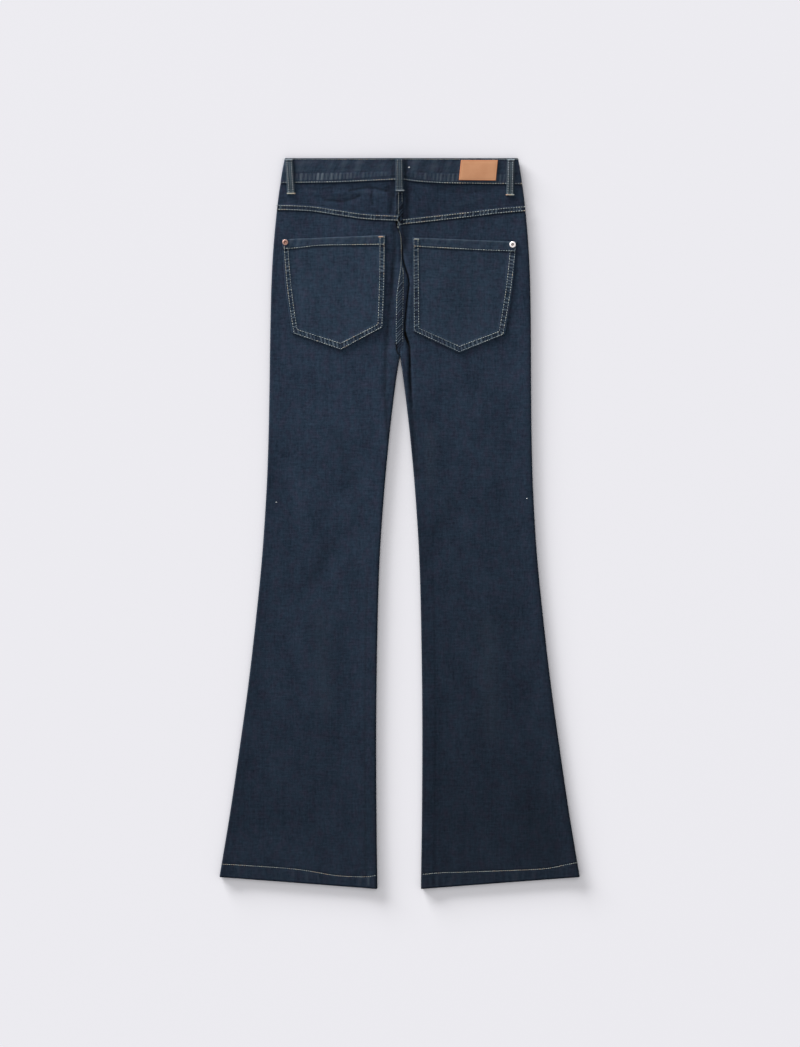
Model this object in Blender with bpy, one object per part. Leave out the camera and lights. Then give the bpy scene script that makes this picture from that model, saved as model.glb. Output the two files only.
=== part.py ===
"""Bootcut jeans lying flat on a surface, front side down, so that the back side shows.

Axes: +X across to the right, +Y up the garment to the waist, +Z up off the surface. The origin is
on the surface, midway along the length and the width. The word down is the distance from the
waist's top edge, measured along -Y. Sides are named as they lie, seen from above.
"""
import math
from collections import namedtuple

import bmesh
import bpy
from mathutils import Vector

MM = 0.001

# Main sizes of the garment as it lies
LENGTH = 1095.6 * MM
HEM_DOWN_AT_OUTSEAM = 1077.7 * MM
CROTCH_DOWN = 296.4 * MM
HEM_DEPTH = 20 * MM
BAND_DEPTH = 39 * MM

# Cloth walls and the gap between two pieces that meet
DENIM = 1.1 * MM
HEM_WALL = 2.1 * MM
BAND_WALL = 1.8 * MM
SEAM_GAP = 0.3 * MM
EDGE_ROUND = 2.6 * MM
TOP_Y = LENGTH / 2

# Half width of the whole garment at each level, and how far its middle line leans to the right
Level = namedtuple("Level", "down side")
SIDE_LEVELS = [
    Level(down=0 * MM, side=174.9 * MM),
    Level(down=18 * MM, side=178.3 * MM),
    Level(down=42 * MM, side=181.8 * MM),
    Level(down=65 * MM, side=184.9 * MM),
    Level(down=101 * MM, side=188.6 * MM),
    Level(down=137 * MM, side=191.5 * MM),
    Level(down=173 * MM, side=193.4 * MM),
    Level(down=209 * MM, side=194.5 * MM),
    Level(down=281 * MM, side=195.6 * MM),
    Level(down=356 * MM, side=196.3 * MM),
    Level(down=428 * MM, side=197.5 * MM),
    Level(down=500 * MM, side=200.0 * MM),
    Level(down=596 * MM, side=206.1 * MM),
    Level(down=692 * MM, side=215.6 * MM),
    Level(down=788 * MM, side=226.7 * MM),
    Level(down=884 * MM, side=239.9 * MM),
    Level(down=980 * MM, side=254.0 * MM),
    Level(down=1078 * MM, side=270.2 * MM),
]
WAIST_LEAN = 2.7 * MM
LEAN_ENDS_DOWN = 560 * MM

# Half of the gap between the legs, and the middle of that gap
Gap = namedtuple("Gap", "down half middle")
LEG_GAPS = [
    Gap(down=CROTCH_DOWN, half=0 * MM, middle=0.6 * MM),
    Gap(down=309 * MM, half=1.9 * MM, middle=0.5 * MM),
    Gap(down=332 * MM, half=5.3 * MM, middle=0.3 * MM),
    Gap(down=380 * MM, half=11.3 * MM, middle=0.2 * MM),
    Gap(down=428 * MM, half=16.5 * MM, middle=0.2 * MM),
    Gap(down=500 * MM, half=23.0 * MM, middle=0.1 * MM),
    Gap(down=596 * MM, half=29.3 * MM, middle=-0.1 * MM),
    Gap(down=692 * MM, half=32.3 * MM, middle=-0.4 * MM),
    Gap(down=836 * MM, half=34.3 * MM, middle=-0.5 * MM),
    Gap(down=980 * MM, half=33.9 * MM, middle=-0.6 * MM),
    Gap(down=1096 * MM, half=32.4 * MM, middle=-0.7 * MM),
]

# Height of the back side's outer face over the surface
Height = namedtuple("Height", "down top")
HEIGHTS = [
    Height(down=0 * MM, top=5.4 * MM),
    Height(down=60 * MM, top=5.2 * MM),
    Height(down=120 * MM, top=4.7 * MM),
    Height(down=300 * MM, top=4.6 * MM),
    Height(down=420 * MM, top=4.4 * MM),
    Height(down=600 * MM, top=4.2 * MM),
    Height(down=850 * MM, top=4.2 * MM),
    Height(down=1000 * MM, top=4.4 * MM),
    Height(down=1060 * MM, top=4.9 * MM),
    Height(down=1096 * MM, top=4.9 * MM),
]
LOWEST_TOP = 2 * DENIM + SEAM_GAP + 0.1 * MM

# The seams' allowances and the folded cloth swell the sides of the legs below the waist
EDGE_SWELL = 1.4 * MM
EDGE_SWELL_REACH = 22 * MM
SWELL_STARTS_DOWN = 50 * MM
SWELL_FULL_DOWN = 110 * MM

# The waist's underside stands off the surface on the button and the front belt loops
WAIST_LIFT = 1.8 * MM
LIFT_STARTS_DOWN = 58 * MM
LIFT_ENDS_DOWN = 95 * MM

# The waistband's lapped ends raise the middle of the back
LAP_HUMP = 2.2 * MM
LAP_HUMP_REACH = 75 * MM
LAP_HUMP_FADE = 60 * MM

# Seams across and down the back: distance down at each place across
Seam = namedtuple("Seam", "across down")
BAND_SEAM = [
    Seam(across=-200 * MM, down=38.2 * MM),
    Seam(across=-155 * MM, down=38.1 * MM),
    Seam(across=-86 * MM, down=36.9 * MM),
    Seam(across=-20 * MM, down=34.0 * MM),
    Seam(across=5 * MM, down=33.4 * MM),
    Seam(across=22 * MM, down=35.8 * MM),
    Seam(across=60 * MM, down=38.4 * MM),
    Seam(across=120 * MM, down=39.5 * MM),
    Seam(across=200 * MM, down=40.0 * MM),
]
YOKE_SEAM = {
    -1: [
        Seam(across=-200 * MM, down=78.0 * MM),
        Seam(across=-134 * MM, down=80.5 * MM),
        Seam(across=-90 * MM, down=86.9 * MM),
        Seam(across=-52 * MM, down=92.3 * MM),
        Seam(across=6 * MM, down=95.2 * MM),
    ],
    1: [
        Seam(across=4 * MM, down=100.2 * MM),
        Seam(across=60 * MM, down=94.2 * MM),
        Seam(across=113 * MM, down=88.1 * MM),
        Seam(across=150 * MM, down=83.6 * MM),
        Seam(across=200 * MM, down=79.4 * MM),
    ],
}
CENTRE_BACK_SEAM = 5.1 * MM
CENTRE_FRONT_SEAM = 0.6 * MM
SEAM_SWINGS_DOWN = 235 * MM
CROTCH_CURL_START = CROTCH_DOWN - 18 * MM

# The largest folds of the back: a path of (across, down) points, half width and rise
Fold = namedtuple("Fold", "rise half_width path")
FOLDS = [
    Fold(-1.9 * MM, 3.0 * MM, [(4 * MM, 141 * MM), (7 * MM, 160 * MM), (14 * MM, 181 * MM),
                               (12 * MM, 206 * MM), (7 * MM, 260 * MM), (13 * MM, 277 * MM),
                               (15 * MM, 299 * MM), (16 * MM, 338 * MM), (19 * MM, 373 * MM)]),
    Fold(-0.9 * MM, 4.5 * MM, [(20 * MM, 385 * MM), (24 * MM, 454 * MM)]),
    Fold(-1.0 * MM, 6.0 * MM, [(12 * MM, 52 * MM), (13 * MM, 128 * MM)]),
    Fold(-1.3 * MM, 2.8 * MM, [(-6 * MM, 99 * MM), (2 * MM, 137 * MM), (2 * MM, 154 * MM)]),
    Fold(0.5 * MM, 4.0 * MM, [(0 * MM, 45 * MM), (0 * MM, 90 * MM)]),
    Fold(0.6 * MM, 4.5 * MM, [(0 * MM, 168 * MM), (0 * MM, 264 * MM)]),
    Fold(-0.8 * MM, 5.0 * MM, [(-8 * MM, 104 * MM), (-7 * MM, 145 * MM), (-14 * MM, 206 * MM),
                               (-20 * MM, 287 * MM), (-22 * MM, 350 * MM)]),
    Fold(-0.5 * MM, 6.0 * MM, [(-125 * MM, 58 * MM), (-82 * MM, 64 * MM), (-60 * MM, 58 * MM)]),
    Fold(-0.6 * MM, 6.0 * MM, [(-72 * MM, 48 * MM), (-20 * MM, 49 * MM)]),
    Fold(-0.6 * MM, 15 * MM, [(-82 * MM, 572 * MM), (-112 * MM, 618 * MM), (-138 * MM, 652 * MM)]),
    Fold(-0.6 * MM, 15 * MM, [(86 * MM, 535 * MM), (61 * MM, 580 * MM), (43 * MM, 612 * MM)]),
    Fold(0.5 * MM, 24 * MM, [(-120 * MM, 420 * MM), (-140 * MM, 640 * MM), (-150 * MM, 900 * MM)]),
    Fold(0.5 * MM, 24 * MM, [(120 * MM, 400 * MM), (128 * MM, 650 * MM), (140 * MM, 900 * MM)]),
    Fold(-0.5 * MM, 20 * MM, [(-80 * MM, 720 * MM), (-84 * MM, 860 * MM), (-90 * MM, 980 * MM)]),
    Fold(-0.5 * MM, 20 * MM, [(190 * MM, 760 * MM), (205 * MM, 960 * MM)]),
]

# Rows of a leg, as distances down its inner side, and columns as parts of its width
BACK_ROWS_DOWN = [110, 135, 165, 195, 222, 245, 263, 276, 286, 303, 314, 332, 356, 385, 420,
                  460, 505, 550, 590, 630, 680, 740, 805, 870, 935, 995, 1045]
FRONT_ROWS_DOWN = [58, 66, 76, 86, 96, 140, 190, 235, 263, 276, 286, 303, 314, 332, 356, 400,
                   450, 510, 580, 660, 750, 850, 950, 1040]
BACK_COLUMN_PARTS = [0.21, 0.29, 0.37, 0.45, 0.54, 0.62, 0.7]
BACK_COLUMNS_FROM_OUTSIDE = [7, 14, 24]
BACK_COLUMNS_FROM_INSIDE = [42, 32, 24, 18, 14, 10.5, 7.5, 5]
FRONT_COLUMN_PARTS = [0.2, 0.4, 0.6, 0.8]
FRONT_COLUMNS_FROM_OUTSIDE = [12]
FRONT_COLUMNS_FROM_INSIDE = [12, 5.5]
YOKE_ROW_PARTS = [0, 0.2, 0.4, 0.6, 0.8, 1]
QUARTER = math.pi / 2
EDGE_TURNS = [0, QUARTER / 3, QUARTER * 2 / 3, QUARTER]

# Back pockets: corners as (across, down), and how far their sides bow outwards
Pocket = namedtuple("Pocket", "outer_top inner_top inner_bottom point outer_bottom outer_bow inner_bow")
POCKETS = {
    "left": Pocket(
        outer_top=(-176.4 * MM, 121.7 * MM), inner_top=(-20.7 * MM, 115.4 * MM),
        inner_bottom=(-24.2 * MM, 253.5 * MM), point=(-88.0 * MM, 288.3 * MM),
        outer_bottom=(-161.7 * MM, 262.7 * MM), outer_bow=-2.4 * MM, inner_bow=1.1 * MM),
    "right": Pocket(
        outer_top=(175.7 * MM, 125.3 * MM), inner_top=(19.5 * MM, 119.1 * MM),
        inner_bottom=(20.0 * MM, 259.8 * MM), point=(89.5 * MM, 292.6 * MM),
        outer_bottom=(158.6 * MM, 264.3 * MM), outer_bow=2.4 * MM, inner_bow=0 * MM),
}
POCKET_COLUMNS = [0, 0.04, 0.16, 0.3, 0.42, 0.54, 0.68, 0.82, 0.96, 1]
POCKET_POINT_COLUMN = 5
POCKET_ROWS = [0, 0.085, 0.1, 0.28, 0.46, 0.64, 0.82, 1]
POCKET_HEM_ROWS = 2
POCKET_HEM_RISE = 0.5 * MM

# Belt loops: where each starts at the waist edge and ends below the band
Loop = namedtuple("Loop", "top bottom end_down")
BACK_LOOPS = {
    "belt_loop_centre_back": Loop(top=-0.2 * MM, bottom=-0.2 * MM, end_down=50.4 * MM),
    "belt_loop_back_left": Loop(top=-165.9 * MM, bottom=-162.6 * MM, end_down=54.6 * MM),
    "belt_loop_back_right": Loop(top=166.8 * MM, bottom=165.5 * MM, end_down=56.7 * MM),
}
FRONT_LOOPS = {
    "belt_loop_front_left": Loop(top=-88 * MM, bottom=-89 * MM, end_down=55 * MM),
    "belt_loop_front_right": Loop(top=92 * MM, bottom=93 * MM, end_down=55 * MM),
}
LOOP_WIDTH = 11.4 * MM
LOOP_WALL = 1.3 * MM
LOOP_SLACK = 0.7 * MM
LOOP_STARTS_DOWN = 0.5 * MM
FRONT_LOOP_WALL = 1.2 * MM

# Waistband: its outer layer ends past the middle of the front, its inner layer steps over it
BAND_RISE = 0.6 * MM
OUTER_LAP_END = 12 * MM
INNER_LAP_END = -25 * MM
LAP_STEP_STARTS = 36 * MM
LAP_STEP_LENGTH = 21 * MM
BAND_ROW_PARTS = [0, 0.05, 0.35, 0.65, 0.95, 1]
BAND_BACK_STATIONS = [150, 118, 90, 68, 52, 40, 29, 19, 9]
BAND_FRONT_STATIONS = [150, 110, 70]
BAND_LAP_STATIONS = [36, 31, 26, 21, 15, 0]

# Patch on the waistband: corners as (across, down)
PATCH_CORNERS = {
    "top_left": (92.0 * MM, 3.2 * MM), "top_right": (147.4 * MM, 3.2 * MM),
    "bottom_left": (88.8 * MM, 33.2 * MM), "bottom_right": (144.4 * MM, 33.9 * MM),
}
PATCH_WALL = 1.2 * MM
PATCH_COLUMNS = 8
PATCH_ROWS = 4

# Metal: turned profiles as (radius, height) from the seat outwards
RIVET_PLACES = {"pocket_rivet_left": (-171.9 * MM, 125.9 * MM),
                "pocket_rivet_right": (169.5 * MM, 128.9 * MM)}
RIVET_PROFILE = [(0, 0), (4.5, 0), (4.5, 0.4), (3.8, 1.0), (2.9, 1.1), (2.0, 0.6), (1.2, 0.7), (0, 1.0)]
BUTTON_PLACE = (-2 * MM, 20 * MM)
BUTTON_PROFILE = [(0, 0.35), (5.6, 0.35), (6.2, 0), (8.0, 0), (8.5, 0.4), (8.5, 1.1), (7.9, 1.5), (0, 1.5)]
TURN_STEPS = 20

# Surface colours, linear, with roughness and metallic value
Finish = namedtuple("Finish", "colour roughness metallic")
FINISHES = {
    "denim": Finish((0.022, 0.035, 0.058), 0.92, 0.0),
    "denim_band": Finish((0.024, 0.038, 0.062), 0.92, 0.0),
    "patch_board": Finish((0.58, 0.28, 0.14), 0.6, 0.0),
    "copper": Finish((0.62, 0.25, 0.13), 0.35, 1.0),
    "brass": Finish((0.45, 0.30, 0.14), 0.4, 1.0),
}


def smooth_step(value):
    """0 below 0, 1 above 1, and an even S between them."""
    value = min(max(value, 0.0), 1.0)
    return value * value * (3 - 2 * value)


def read_along(rows, key, column, place):
    """A column's value at a place along a table, on a smooth curve through the rows."""
    marks = [getattr(row, key) for row in rows]
    values = [getattr(row, column) for row in rows]
    place = min(max(place, marks[0]), marks[-1])
    index = 0
    while index < len(marks) - 2 and place > marks[index + 1]:
        index += 1

    def slope(at):
        before, after = max(at - 1, 0), min(at + 1, len(marks) - 1)
        return (values[after] - values[before]) / (marks[after] - marks[before])

    span = marks[index + 1] - marks[index]
    t = (place - marks[index]) / span
    from_start = (2 * t ** 3 - 3 * t ** 2 + 1) * values[index] + (t ** 3 - 2 * t ** 2 + t) * span * slope(index)
    from_end = (3 * t ** 2 - 2 * t ** 3) * values[index + 1] + (t ** 3 - t ** 2) * span * slope(index + 1)
    return from_start + from_end


def outer_edge(side, down):
    """Where the outseam lies across the garment; side is -1 for the left leg, 1 for the right."""
    lean = WAIST_LEAN * max(0.0, 1 - down / LEAN_ENDS_DOWN)
    return lean + side * read_along(SIDE_LEVELS, "down", "side", down)


def inner_edge(side, down, seam):
    """Where a panel's inner side lies: at the centre seam above the crotch, at the inseam below."""
    if down < CROTCH_DOWN:
        swing = smooth_step((down - SEAM_SWINGS_DOWN) / (CROTCH_DOWN - SEAM_SWINGS_DOWN))
        return seam + (LEG_GAPS[0].middle - seam) * swing + side * SEAM_GAP / 2
    half = read_along(LEG_GAPS, "down", "half", down)
    return read_along(LEG_GAPS, "down", "middle", down) + side * (half + SEAM_GAP / 2)


def distance_to_path(across, down, path):
    """Shortest distance from a place on the back to a fold's path."""
    place = Vector((across, down))
    nearest = []
    for start, end in zip(path, path[1:]):
        start, run = Vector(start), Vector(end) - Vector(start)
        part = min(max((place - start).dot(run) / run.length_squared, 0.0), 1.0)
        nearest.append((place - start - run * part).length)
    return min(nearest)


def underside(down):
    """Height of the front's outer face, which faces down."""
    span = LIFT_ENDS_DOWN - LIFT_STARTS_DOWN
    return WAIST_LIFT * (1 - smooth_step((down - LIFT_STARTS_DOWN) / span))


def plain_top(down):
    """Height of the back's outer face without folds."""
    return read_along(HEIGHTS, "down", "top", down)


def swell_share(down):
    """How much of the sides' swelling there is at a level."""
    return smooth_step((down - SWELL_STARTS_DOWN) / (SWELL_FULL_DOWN - SWELL_STARTS_DOWN))


def crotch_curl(down):
    """0 where the inner sides lie flat at the centre seam, 1 where they curl round each leg."""
    return smooth_step((down - CROTCH_CURL_START) / (CROTCH_DOWN - CROTCH_CURL_START))


def edge_swell(across, down):
    """How far the back rises towards the sides of the legs."""
    side = -1 if across < CENTRE_BACK_SEAM else 1
    outer = (outer_edge(side, down) - across) / EDGE_SWELL_REACH
    inner = (inner_edge(side, down, CENTRE_BACK_SEAM) - across) / EDGE_SWELL_REACH
    rise = math.exp(-outer ** 2) + crotch_curl(down) * math.exp(-inner ** 2)
    return EDGE_SWELL * swell_share(down) * min(rise, 1.0)


def lap_hump(across, down):
    """How far the waistband's lapped ends lift the back."""
    fade = max(0.0, down - BAND_DEPTH) / LAP_HUMP_FADE
    return LAP_HUMP * math.exp(-(across / LAP_HUMP_REACH) ** 2 - fade ** 2)


def back_top(across, down):
    """Height of the back's outer face with its folds."""
    folds = sum(fold.rise * math.exp(-(distance_to_path(across, down, fold.path) / fold.half_width) ** 2)
                for fold in FOLDS)
    return max(plain_top(down) + edge_swell(across, down) + lap_hump(across, down) + folds, LOWEST_TOP)


def band_seam(across):
    """Distance down to the waistband's lower seam on the back."""
    return read_along(BAND_SEAM, "across", "down", across)


def front_band_seam(across):
    """Distance down to the waistband's lower seam on the front, which runs straight across."""
    left, right = BAND_SEAM[0], BAND_SEAM[-1]
    return left.down + (right.down - left.down) * (across - left.across) / (right.across - left.across)


def yoke_seam(side, across):
    """Distance down to the seam between a yoke piece and its back panel."""
    return read_along(YOKE_SEAM[side], "across", "down", across)


def hem_line(side, across):
    """Distance down to the hem, which is longer at the inseam."""
    inseam, outseam = abs(inner_edge(side, LENGTH, 0)), abs(outer_edge(side, HEM_DOWN_AT_OUTSEAM))
    part = (abs(across) - inseam) / (outseam - inseam)
    return LENGTH + (HEM_DOWN_AT_OUTSEAM - LENGTH) * min(max(part, 0.0), 1.0)


Column = namedtuple("Column", "part inset outer_turn inner_turn")
Row = namedtuple("Row", "part inset")


def leg_columns(from_outside, parts, from_inside):
    """Columns across a panel: its rounded outer edge, its flat middle and its rounded inner edge."""
    outer = [Column(0, EDGE_ROUND * (1 - math.cos(turn)), turn, QUARTER) for turn in EDGE_TURNS]
    middle = [Column(0, distance * MM, QUARTER, QUARTER) for distance in from_outside]
    middle += [Column(part, 0, QUARTER, QUARTER) for part in parts]
    middle += [Column(1, -distance * MM, QUARTER, QUARTER) for distance in from_inside]
    inner = [Column(1, -EDGE_ROUND * (1 - math.cos(turn)), QUARTER, turn) for turn in reversed(EDGE_TURNS)]
    return outer + middle + inner


def wall_point(side, column, down, face, seam, wall):
    """A point of a panel's wall, moved in by the wall; face is 1 on the back and -1 on the front."""
    start = outer_edge(side, down)
    width = abs(inner_edge(side, down, seam) - start)
    across = start - side * (column.part * width + column.inset)
    curl = crotch_curl(down)
    rise = math.sin(column.outer_turn) * (1 - curl + curl * math.sin(column.inner_turn))
    lean = side * (math.cos(column.outer_turn) - curl * math.cos(column.inner_turn))
    normal = Vector((lean, face * rise)).normalized()
    swollen = plain_top(down) + EDGE_SWELL * swell_share(down)
    seat = (underside(down) + swollen + face * SEAM_GAP) / 2
    far = back_top(across, down) if face > 0 else underside(down)
    height = seat + (far - seat) * rise
    return Vector((across - wall * normal.x, TOP_Y - down, height - wall * normal.y))


def down_in_panel(side, column, row, seam, top_line, end_line):
    """The distance down of a grid place, found where its column crosses its row."""
    down = CROTCH_DOWN
    for _ in range(3):
        start = outer_edge(side, down)
        width = abs(inner_edge(side, down, seam) - start)
        across = start - side * (column.part * width + column.inset)
        top, end = top_line(side, across), end_line(side, across)
        down = top + row.part * (end - top) + row.inset
    return down


def make_material(name):
    """A surface with the finish's colour, roughness and metallic value."""
    finish = FINISHES[name]
    material = bpy.data.materials.new(name)
    material.use_nodes = True
    shader = material.node_tree.nodes["Principled BSDF"]
    shader.inputs["Base Color"].default_value = (*finish.colour, 1)
    shader.inputs["Roughness"].default_value = finish.roughness
    shader.inputs["Metallic"].default_value = finish.metallic
    return material


def add_object(name, bm, material, parent):
    """Turns a finished mesh into a named, smoothly shaded object."""
    bmesh.ops.recalc_face_normals(bm, faces=bm.faces[:])
    mesh = bpy.data.meshes.new(name)
    bm.to_mesh(mesh)
    bm.free()
    mesh.shade_smooth()
    mesh.set_sharp_from_angle(angle=math.radians(40))
    mesh.materials.append(material)
    piece = bpy.data.objects.new(name, mesh)
    bpy.context.scene.collection.objects.link(piece)
    piece.parent = parent
    return piece


def make_wall(name, columns, rows, place, material, parent):
    """A cloth wall: a flat grid, extruded to a second skin, is laid on the two faces of the cloth.

    place(i, j, inner) gives the point of column i and row j on the outer or the inner face.
    """
    bm = bmesh.new()
    bmesh.ops.create_grid(bm, x_segments=columns - 1, y_segments=rows - 1, size=0.5)
    skin = bmesh.ops.extrude_face_region(bm, geom=bm.faces[:], use_keep_orig=True)
    inner = {item for item in skin["geom"] if isinstance(item, bmesh.types.BMVert)}
    for vert in bm.verts:
        i = round((vert.co.x + 0.5) * (columns - 1))
        j = round((0.5 - vert.co.y) * (rows - 1))
        vert.co = place(i, j, vert in inner)
    return add_object(name, bm, material, parent)


def make_panel(name, side, face, columns, rows, lines, material, parent):
    """A leg panel or a yoke piece; lines holds its centre seam, top line and end line."""
    seam, top_line, end_line = lines

    def place(i, j, inner):
        column, row = columns[i], rows[j]
        down = down_in_panel(side, column, row, seam, top_line, end_line)
        in_hem = row.part == 1 and end_line is hem_line and row.inset > -HEM_DEPTH - SEAM_GAP / 2
        wall = (HEM_WALL if in_hem else DENIM) if inner else 0.0
        return wall_point(side, column, down, face, seam, wall)

    return make_wall(name, len(columns), len(rows), place, material, parent)


def leg_rows(downs, top):
    """Rows at distances down the inner side, then the step and the end of the turned-up hem."""
    downs = sorted([distance * MM for distance in downs] + [CROTCH_DOWN])
    rows = [Row((down - top) / (LENGTH - top), 0) for down in downs]
    return [Row(0, 0)] + rows + [Row(1, -HEM_DEPTH - SEAM_GAP), Row(1, -HEM_DEPTH), Row(1, 0)]


def make_legs(material, parent):
    """Back and front panels of both legs, and the yoke pieces over the back panels."""
    names = {-1: "left", 1: "right"}
    back_columns = leg_columns(BACK_COLUMNS_FROM_OUTSIDE, BACK_COLUMN_PARTS, BACK_COLUMNS_FROM_INSIDE)
    front_columns = leg_columns(FRONT_COLUMNS_FROM_OUTSIDE, FRONT_COLUMN_PARTS, FRONT_COLUMNS_FROM_INSIDE)
    for side, word in names.items():
        seam_end = yoke_seam(side, CENTRE_BACK_SEAM)
        back_lines = (CENTRE_BACK_SEAM, lambda s, x: yoke_seam(s, x) + SEAM_GAP / 2, hem_line)
        make_panel("back_panel_" + word, side, 1, back_columns, leg_rows(BACK_ROWS_DOWN, seam_end),
                   back_lines, material, parent)
        yoke_lines = (CENTRE_BACK_SEAM, lambda s, x: band_seam(x) + SEAM_GAP / 2,
                      lambda s, x: yoke_seam(s, x) - SEAM_GAP / 2)
        make_panel("yoke_" + word, side, 1, back_columns, [Row(part, 0) for part in YOKE_ROW_PARTS],
                   yoke_lines, material, parent)
        front_lines = (CENTRE_FRONT_SEAM, lambda s, x: front_band_seam(x) + SEAM_GAP / 2, hem_line)
        make_panel("front_panel_" + word, side, -1, front_columns, leg_rows(FRONT_ROWS_DOWN, BAND_DEPTH),
                   front_lines, material, parent)


def band_top(across, down):
    """Height of the waistband's outer face on the back."""
    return plain_top(down) + lap_hump(across, down) + BAND_RISE


def band_stations(down):
    """Outer points and normals along the waistband at one level, from its outer lap to its inner lap."""
    low = underside(down)
    stations = [((across, low), (0, -1)) for across in (OUTER_LAP_END, -20 * MM)]
    stations += [((-across * MM, low), (0, -1)) for across in reversed(BAND_FRONT_STATIONS)]
    turns = [-3, -2, -1, 0, 1, 2, 3]
    back = [-distance for distance in BAND_BACK_STATIONS] + [0] + list(reversed(BAND_BACK_STATIONS))
    for side in (-1, 1):
        edge = outer_edge(side, down)
        top = band_top(edge, down)
        seat = (low + top) / 2
        fold = []
        for turn in turns:
            angle = turn * QUARTER / 3
            across = edge - side * EDGE_ROUND * (1 - math.cos(angle))
            height = seat + (top - seat) * math.sin(angle)
            fold.append(((across, height), (side * math.cos(angle), math.sin(angle))))
        if side < 0:
            stations += fold
            stations += [((x * MM, band_top(x * MM, down)), (0, 1)) for x in back]
        else:
            stations += reversed(fold)
    stations += [((across * MM, low), (0, -1)) for across in BAND_FRONT_STATIONS]
    step = BAND_WALL + SEAM_GAP
    for across in [x * MM for x in BAND_LAP_STATIONS] + [INNER_LAP_END]:
        lift = step * smooth_step((LAP_STEP_STARTS - across) / LAP_STEP_LENGTH)
        stations.append(((across, low + lift), (0, -1)))
    return stations


def make_waistband(material, parent):
    """The folded strip round the waist, lapped over itself at the centre front."""
    count = len(band_stations(0.0))

    def place(i, j, inner):
        part = BAND_ROW_PARTS[j]
        level = part * BAND_DEPTH
        (across, height), normal = band_stations(level)[i]
        seam_line = band_seam if normal[1] > 0 else front_band_seam
        end = seam_line(across) - SEAM_GAP / 2
        wall = BAND_WALL if inner else 0.0
        return Vector((across - wall * normal[0], TOP_Y - part * end, height - wall * normal[1]))

    make_wall("waistband", count, len(BAND_ROW_PARTS), place, material, parent)


def pocket_place(pocket, column, row):
    """Where a place of the pocket's cut lies on the back, as (across, down)."""
    middle = POCKET_COLUMNS[POCKET_POINT_COLUMN]
    outer_top, inner_top = Vector(pocket.outer_top), Vector(pocket.inner_top)
    top = outer_top.lerp(inner_top, column)
    if column <= middle:
        bottom = Vector(pocket.outer_bottom).lerp(Vector(pocket.point), column / middle)
    else:
        bottom = Vector(pocket.point).lerp(Vector(pocket.inner_bottom), (column - middle) / (1 - middle))
    across, down = top.lerp(bottom, row)
    bow = pocket.outer_bow * (1 - column) + pocket.inner_bow * column
    return across + bow * math.sin(math.pi * row), down


def make_pockets(material, parent):
    """Patch pockets that lie on the back panels, with a thicker turned-down hem at the top."""
    for word, pocket in POCKETS.items():
        def place(i, j, inner):
            across, down = pocket_place(pocket, POCKET_COLUMNS[i], POCKET_ROWS[j])
            height = back_top(across, down) + SEAM_GAP
            if not inner:
                height += DENIM + (POCKET_HEM_RISE if j < POCKET_HEM_ROWS else 0.0)
            return Vector((across, TOP_Y - down, height))

        make_wall("back_pocket_" + word, len(POCKET_COLUMNS), len(POCKET_ROWS), place, material, parent)


def make_back_loops(material, parent):
    """Belt loops over the waistband, sewn at the waist edge and to the yoke below the band."""
    for name, loop in BACK_LOOPS.items():
        parts = [0, 0.06, 0.2, 0.45, 0.7, 0.82, 0.92, 1]

        def place(i, j, inner):
            down = LOOP_STARTS_DOWN + parts[j] * (loop.end_down - LOOP_STARTS_DOWN)
            middle = loop.top + (loop.bottom - loop.top) * parts[j]
            across = middle + (i / 2 - 0.5) * LOOP_WIDTH
            over_band = band_top(middle, down) + SEAM_GAP
            slack = LOOP_SLACK * math.sin(math.pi * min(down / BAND_DEPTH, 1.0))
            on_yoke = back_top(middle, down) + SEAM_GAP
            drop = smooth_step((down - BAND_DEPTH) / (6 * MM))
            height = (over_band + slack) * (1 - drop) + on_yoke * drop
            return Vector((across, TOP_Y - down, height + (0.0 if inner else LOOP_WALL)))

        make_wall(name, 3, len(parts), place, material, parent)


def make_front_loops(material, parent):
    """Belt loops pressed flat between the front of the waistband and the surface."""
    for name, loop in FRONT_LOOPS.items():
        def place(i, j, inner):
            down = LOOP_STARTS_DOWN + j / 4 * (loop.end_down - LOOP_STARTS_DOWN)
            across = loop.top + (loop.bottom - loop.top) * j / 4 + (i / 2 - 0.5) * LOOP_WIDTH
            return Vector((across, TOP_Y - down, FRONT_LOOP_WALL if inner else 0.0))

        make_wall(name, 3, 5, place, material, parent)


def make_patch(material, parent):
    """A plain board of leather sewn on the waistband."""
    corners = {name: Vector(place) for name, place in PATCH_CORNERS.items()}

    def place(i, j, inner):
        part = i / (PATCH_COLUMNS - 1)
        top = corners["top_left"].lerp(corners["top_right"], part)
        bottom = corners["bottom_left"].lerp(corners["bottom_right"], part)
        across, down = top.lerp(bottom, j / (PATCH_ROWS - 1))
        height = band_top(across, down) + SEAM_GAP + (0.0 if inner else PATCH_WALL)
        return Vector((across, TOP_Y - down, height))

    make_wall("waist_patch", PATCH_COLUMNS, PATCH_ROWS, place, material, parent)


def make_turned(name, profile, location, material, parent):
    """A round metal piece: a profile spun about the vertical through its middle."""
    bm = bmesh.new()
    verts = [bm.verts.new((radius * MM, 0, height * MM)) for radius, height in profile]
    edges = [bm.edges.new(pair) for pair in zip(verts, verts[1:])]
    bmesh.ops.spin(bm, geom=verts + edges, cent=(0, 0, 0), axis=(0, 0, 1), angle=2 * math.pi,
                   steps=TURN_STEPS, use_merge=True)
    bmesh.ops.remove_doubles(bm, verts=bm.verts[:], dist=0.01 * MM)
    piece = add_object(name, bm, material, parent)
    piece.location = location
    return piece


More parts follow.
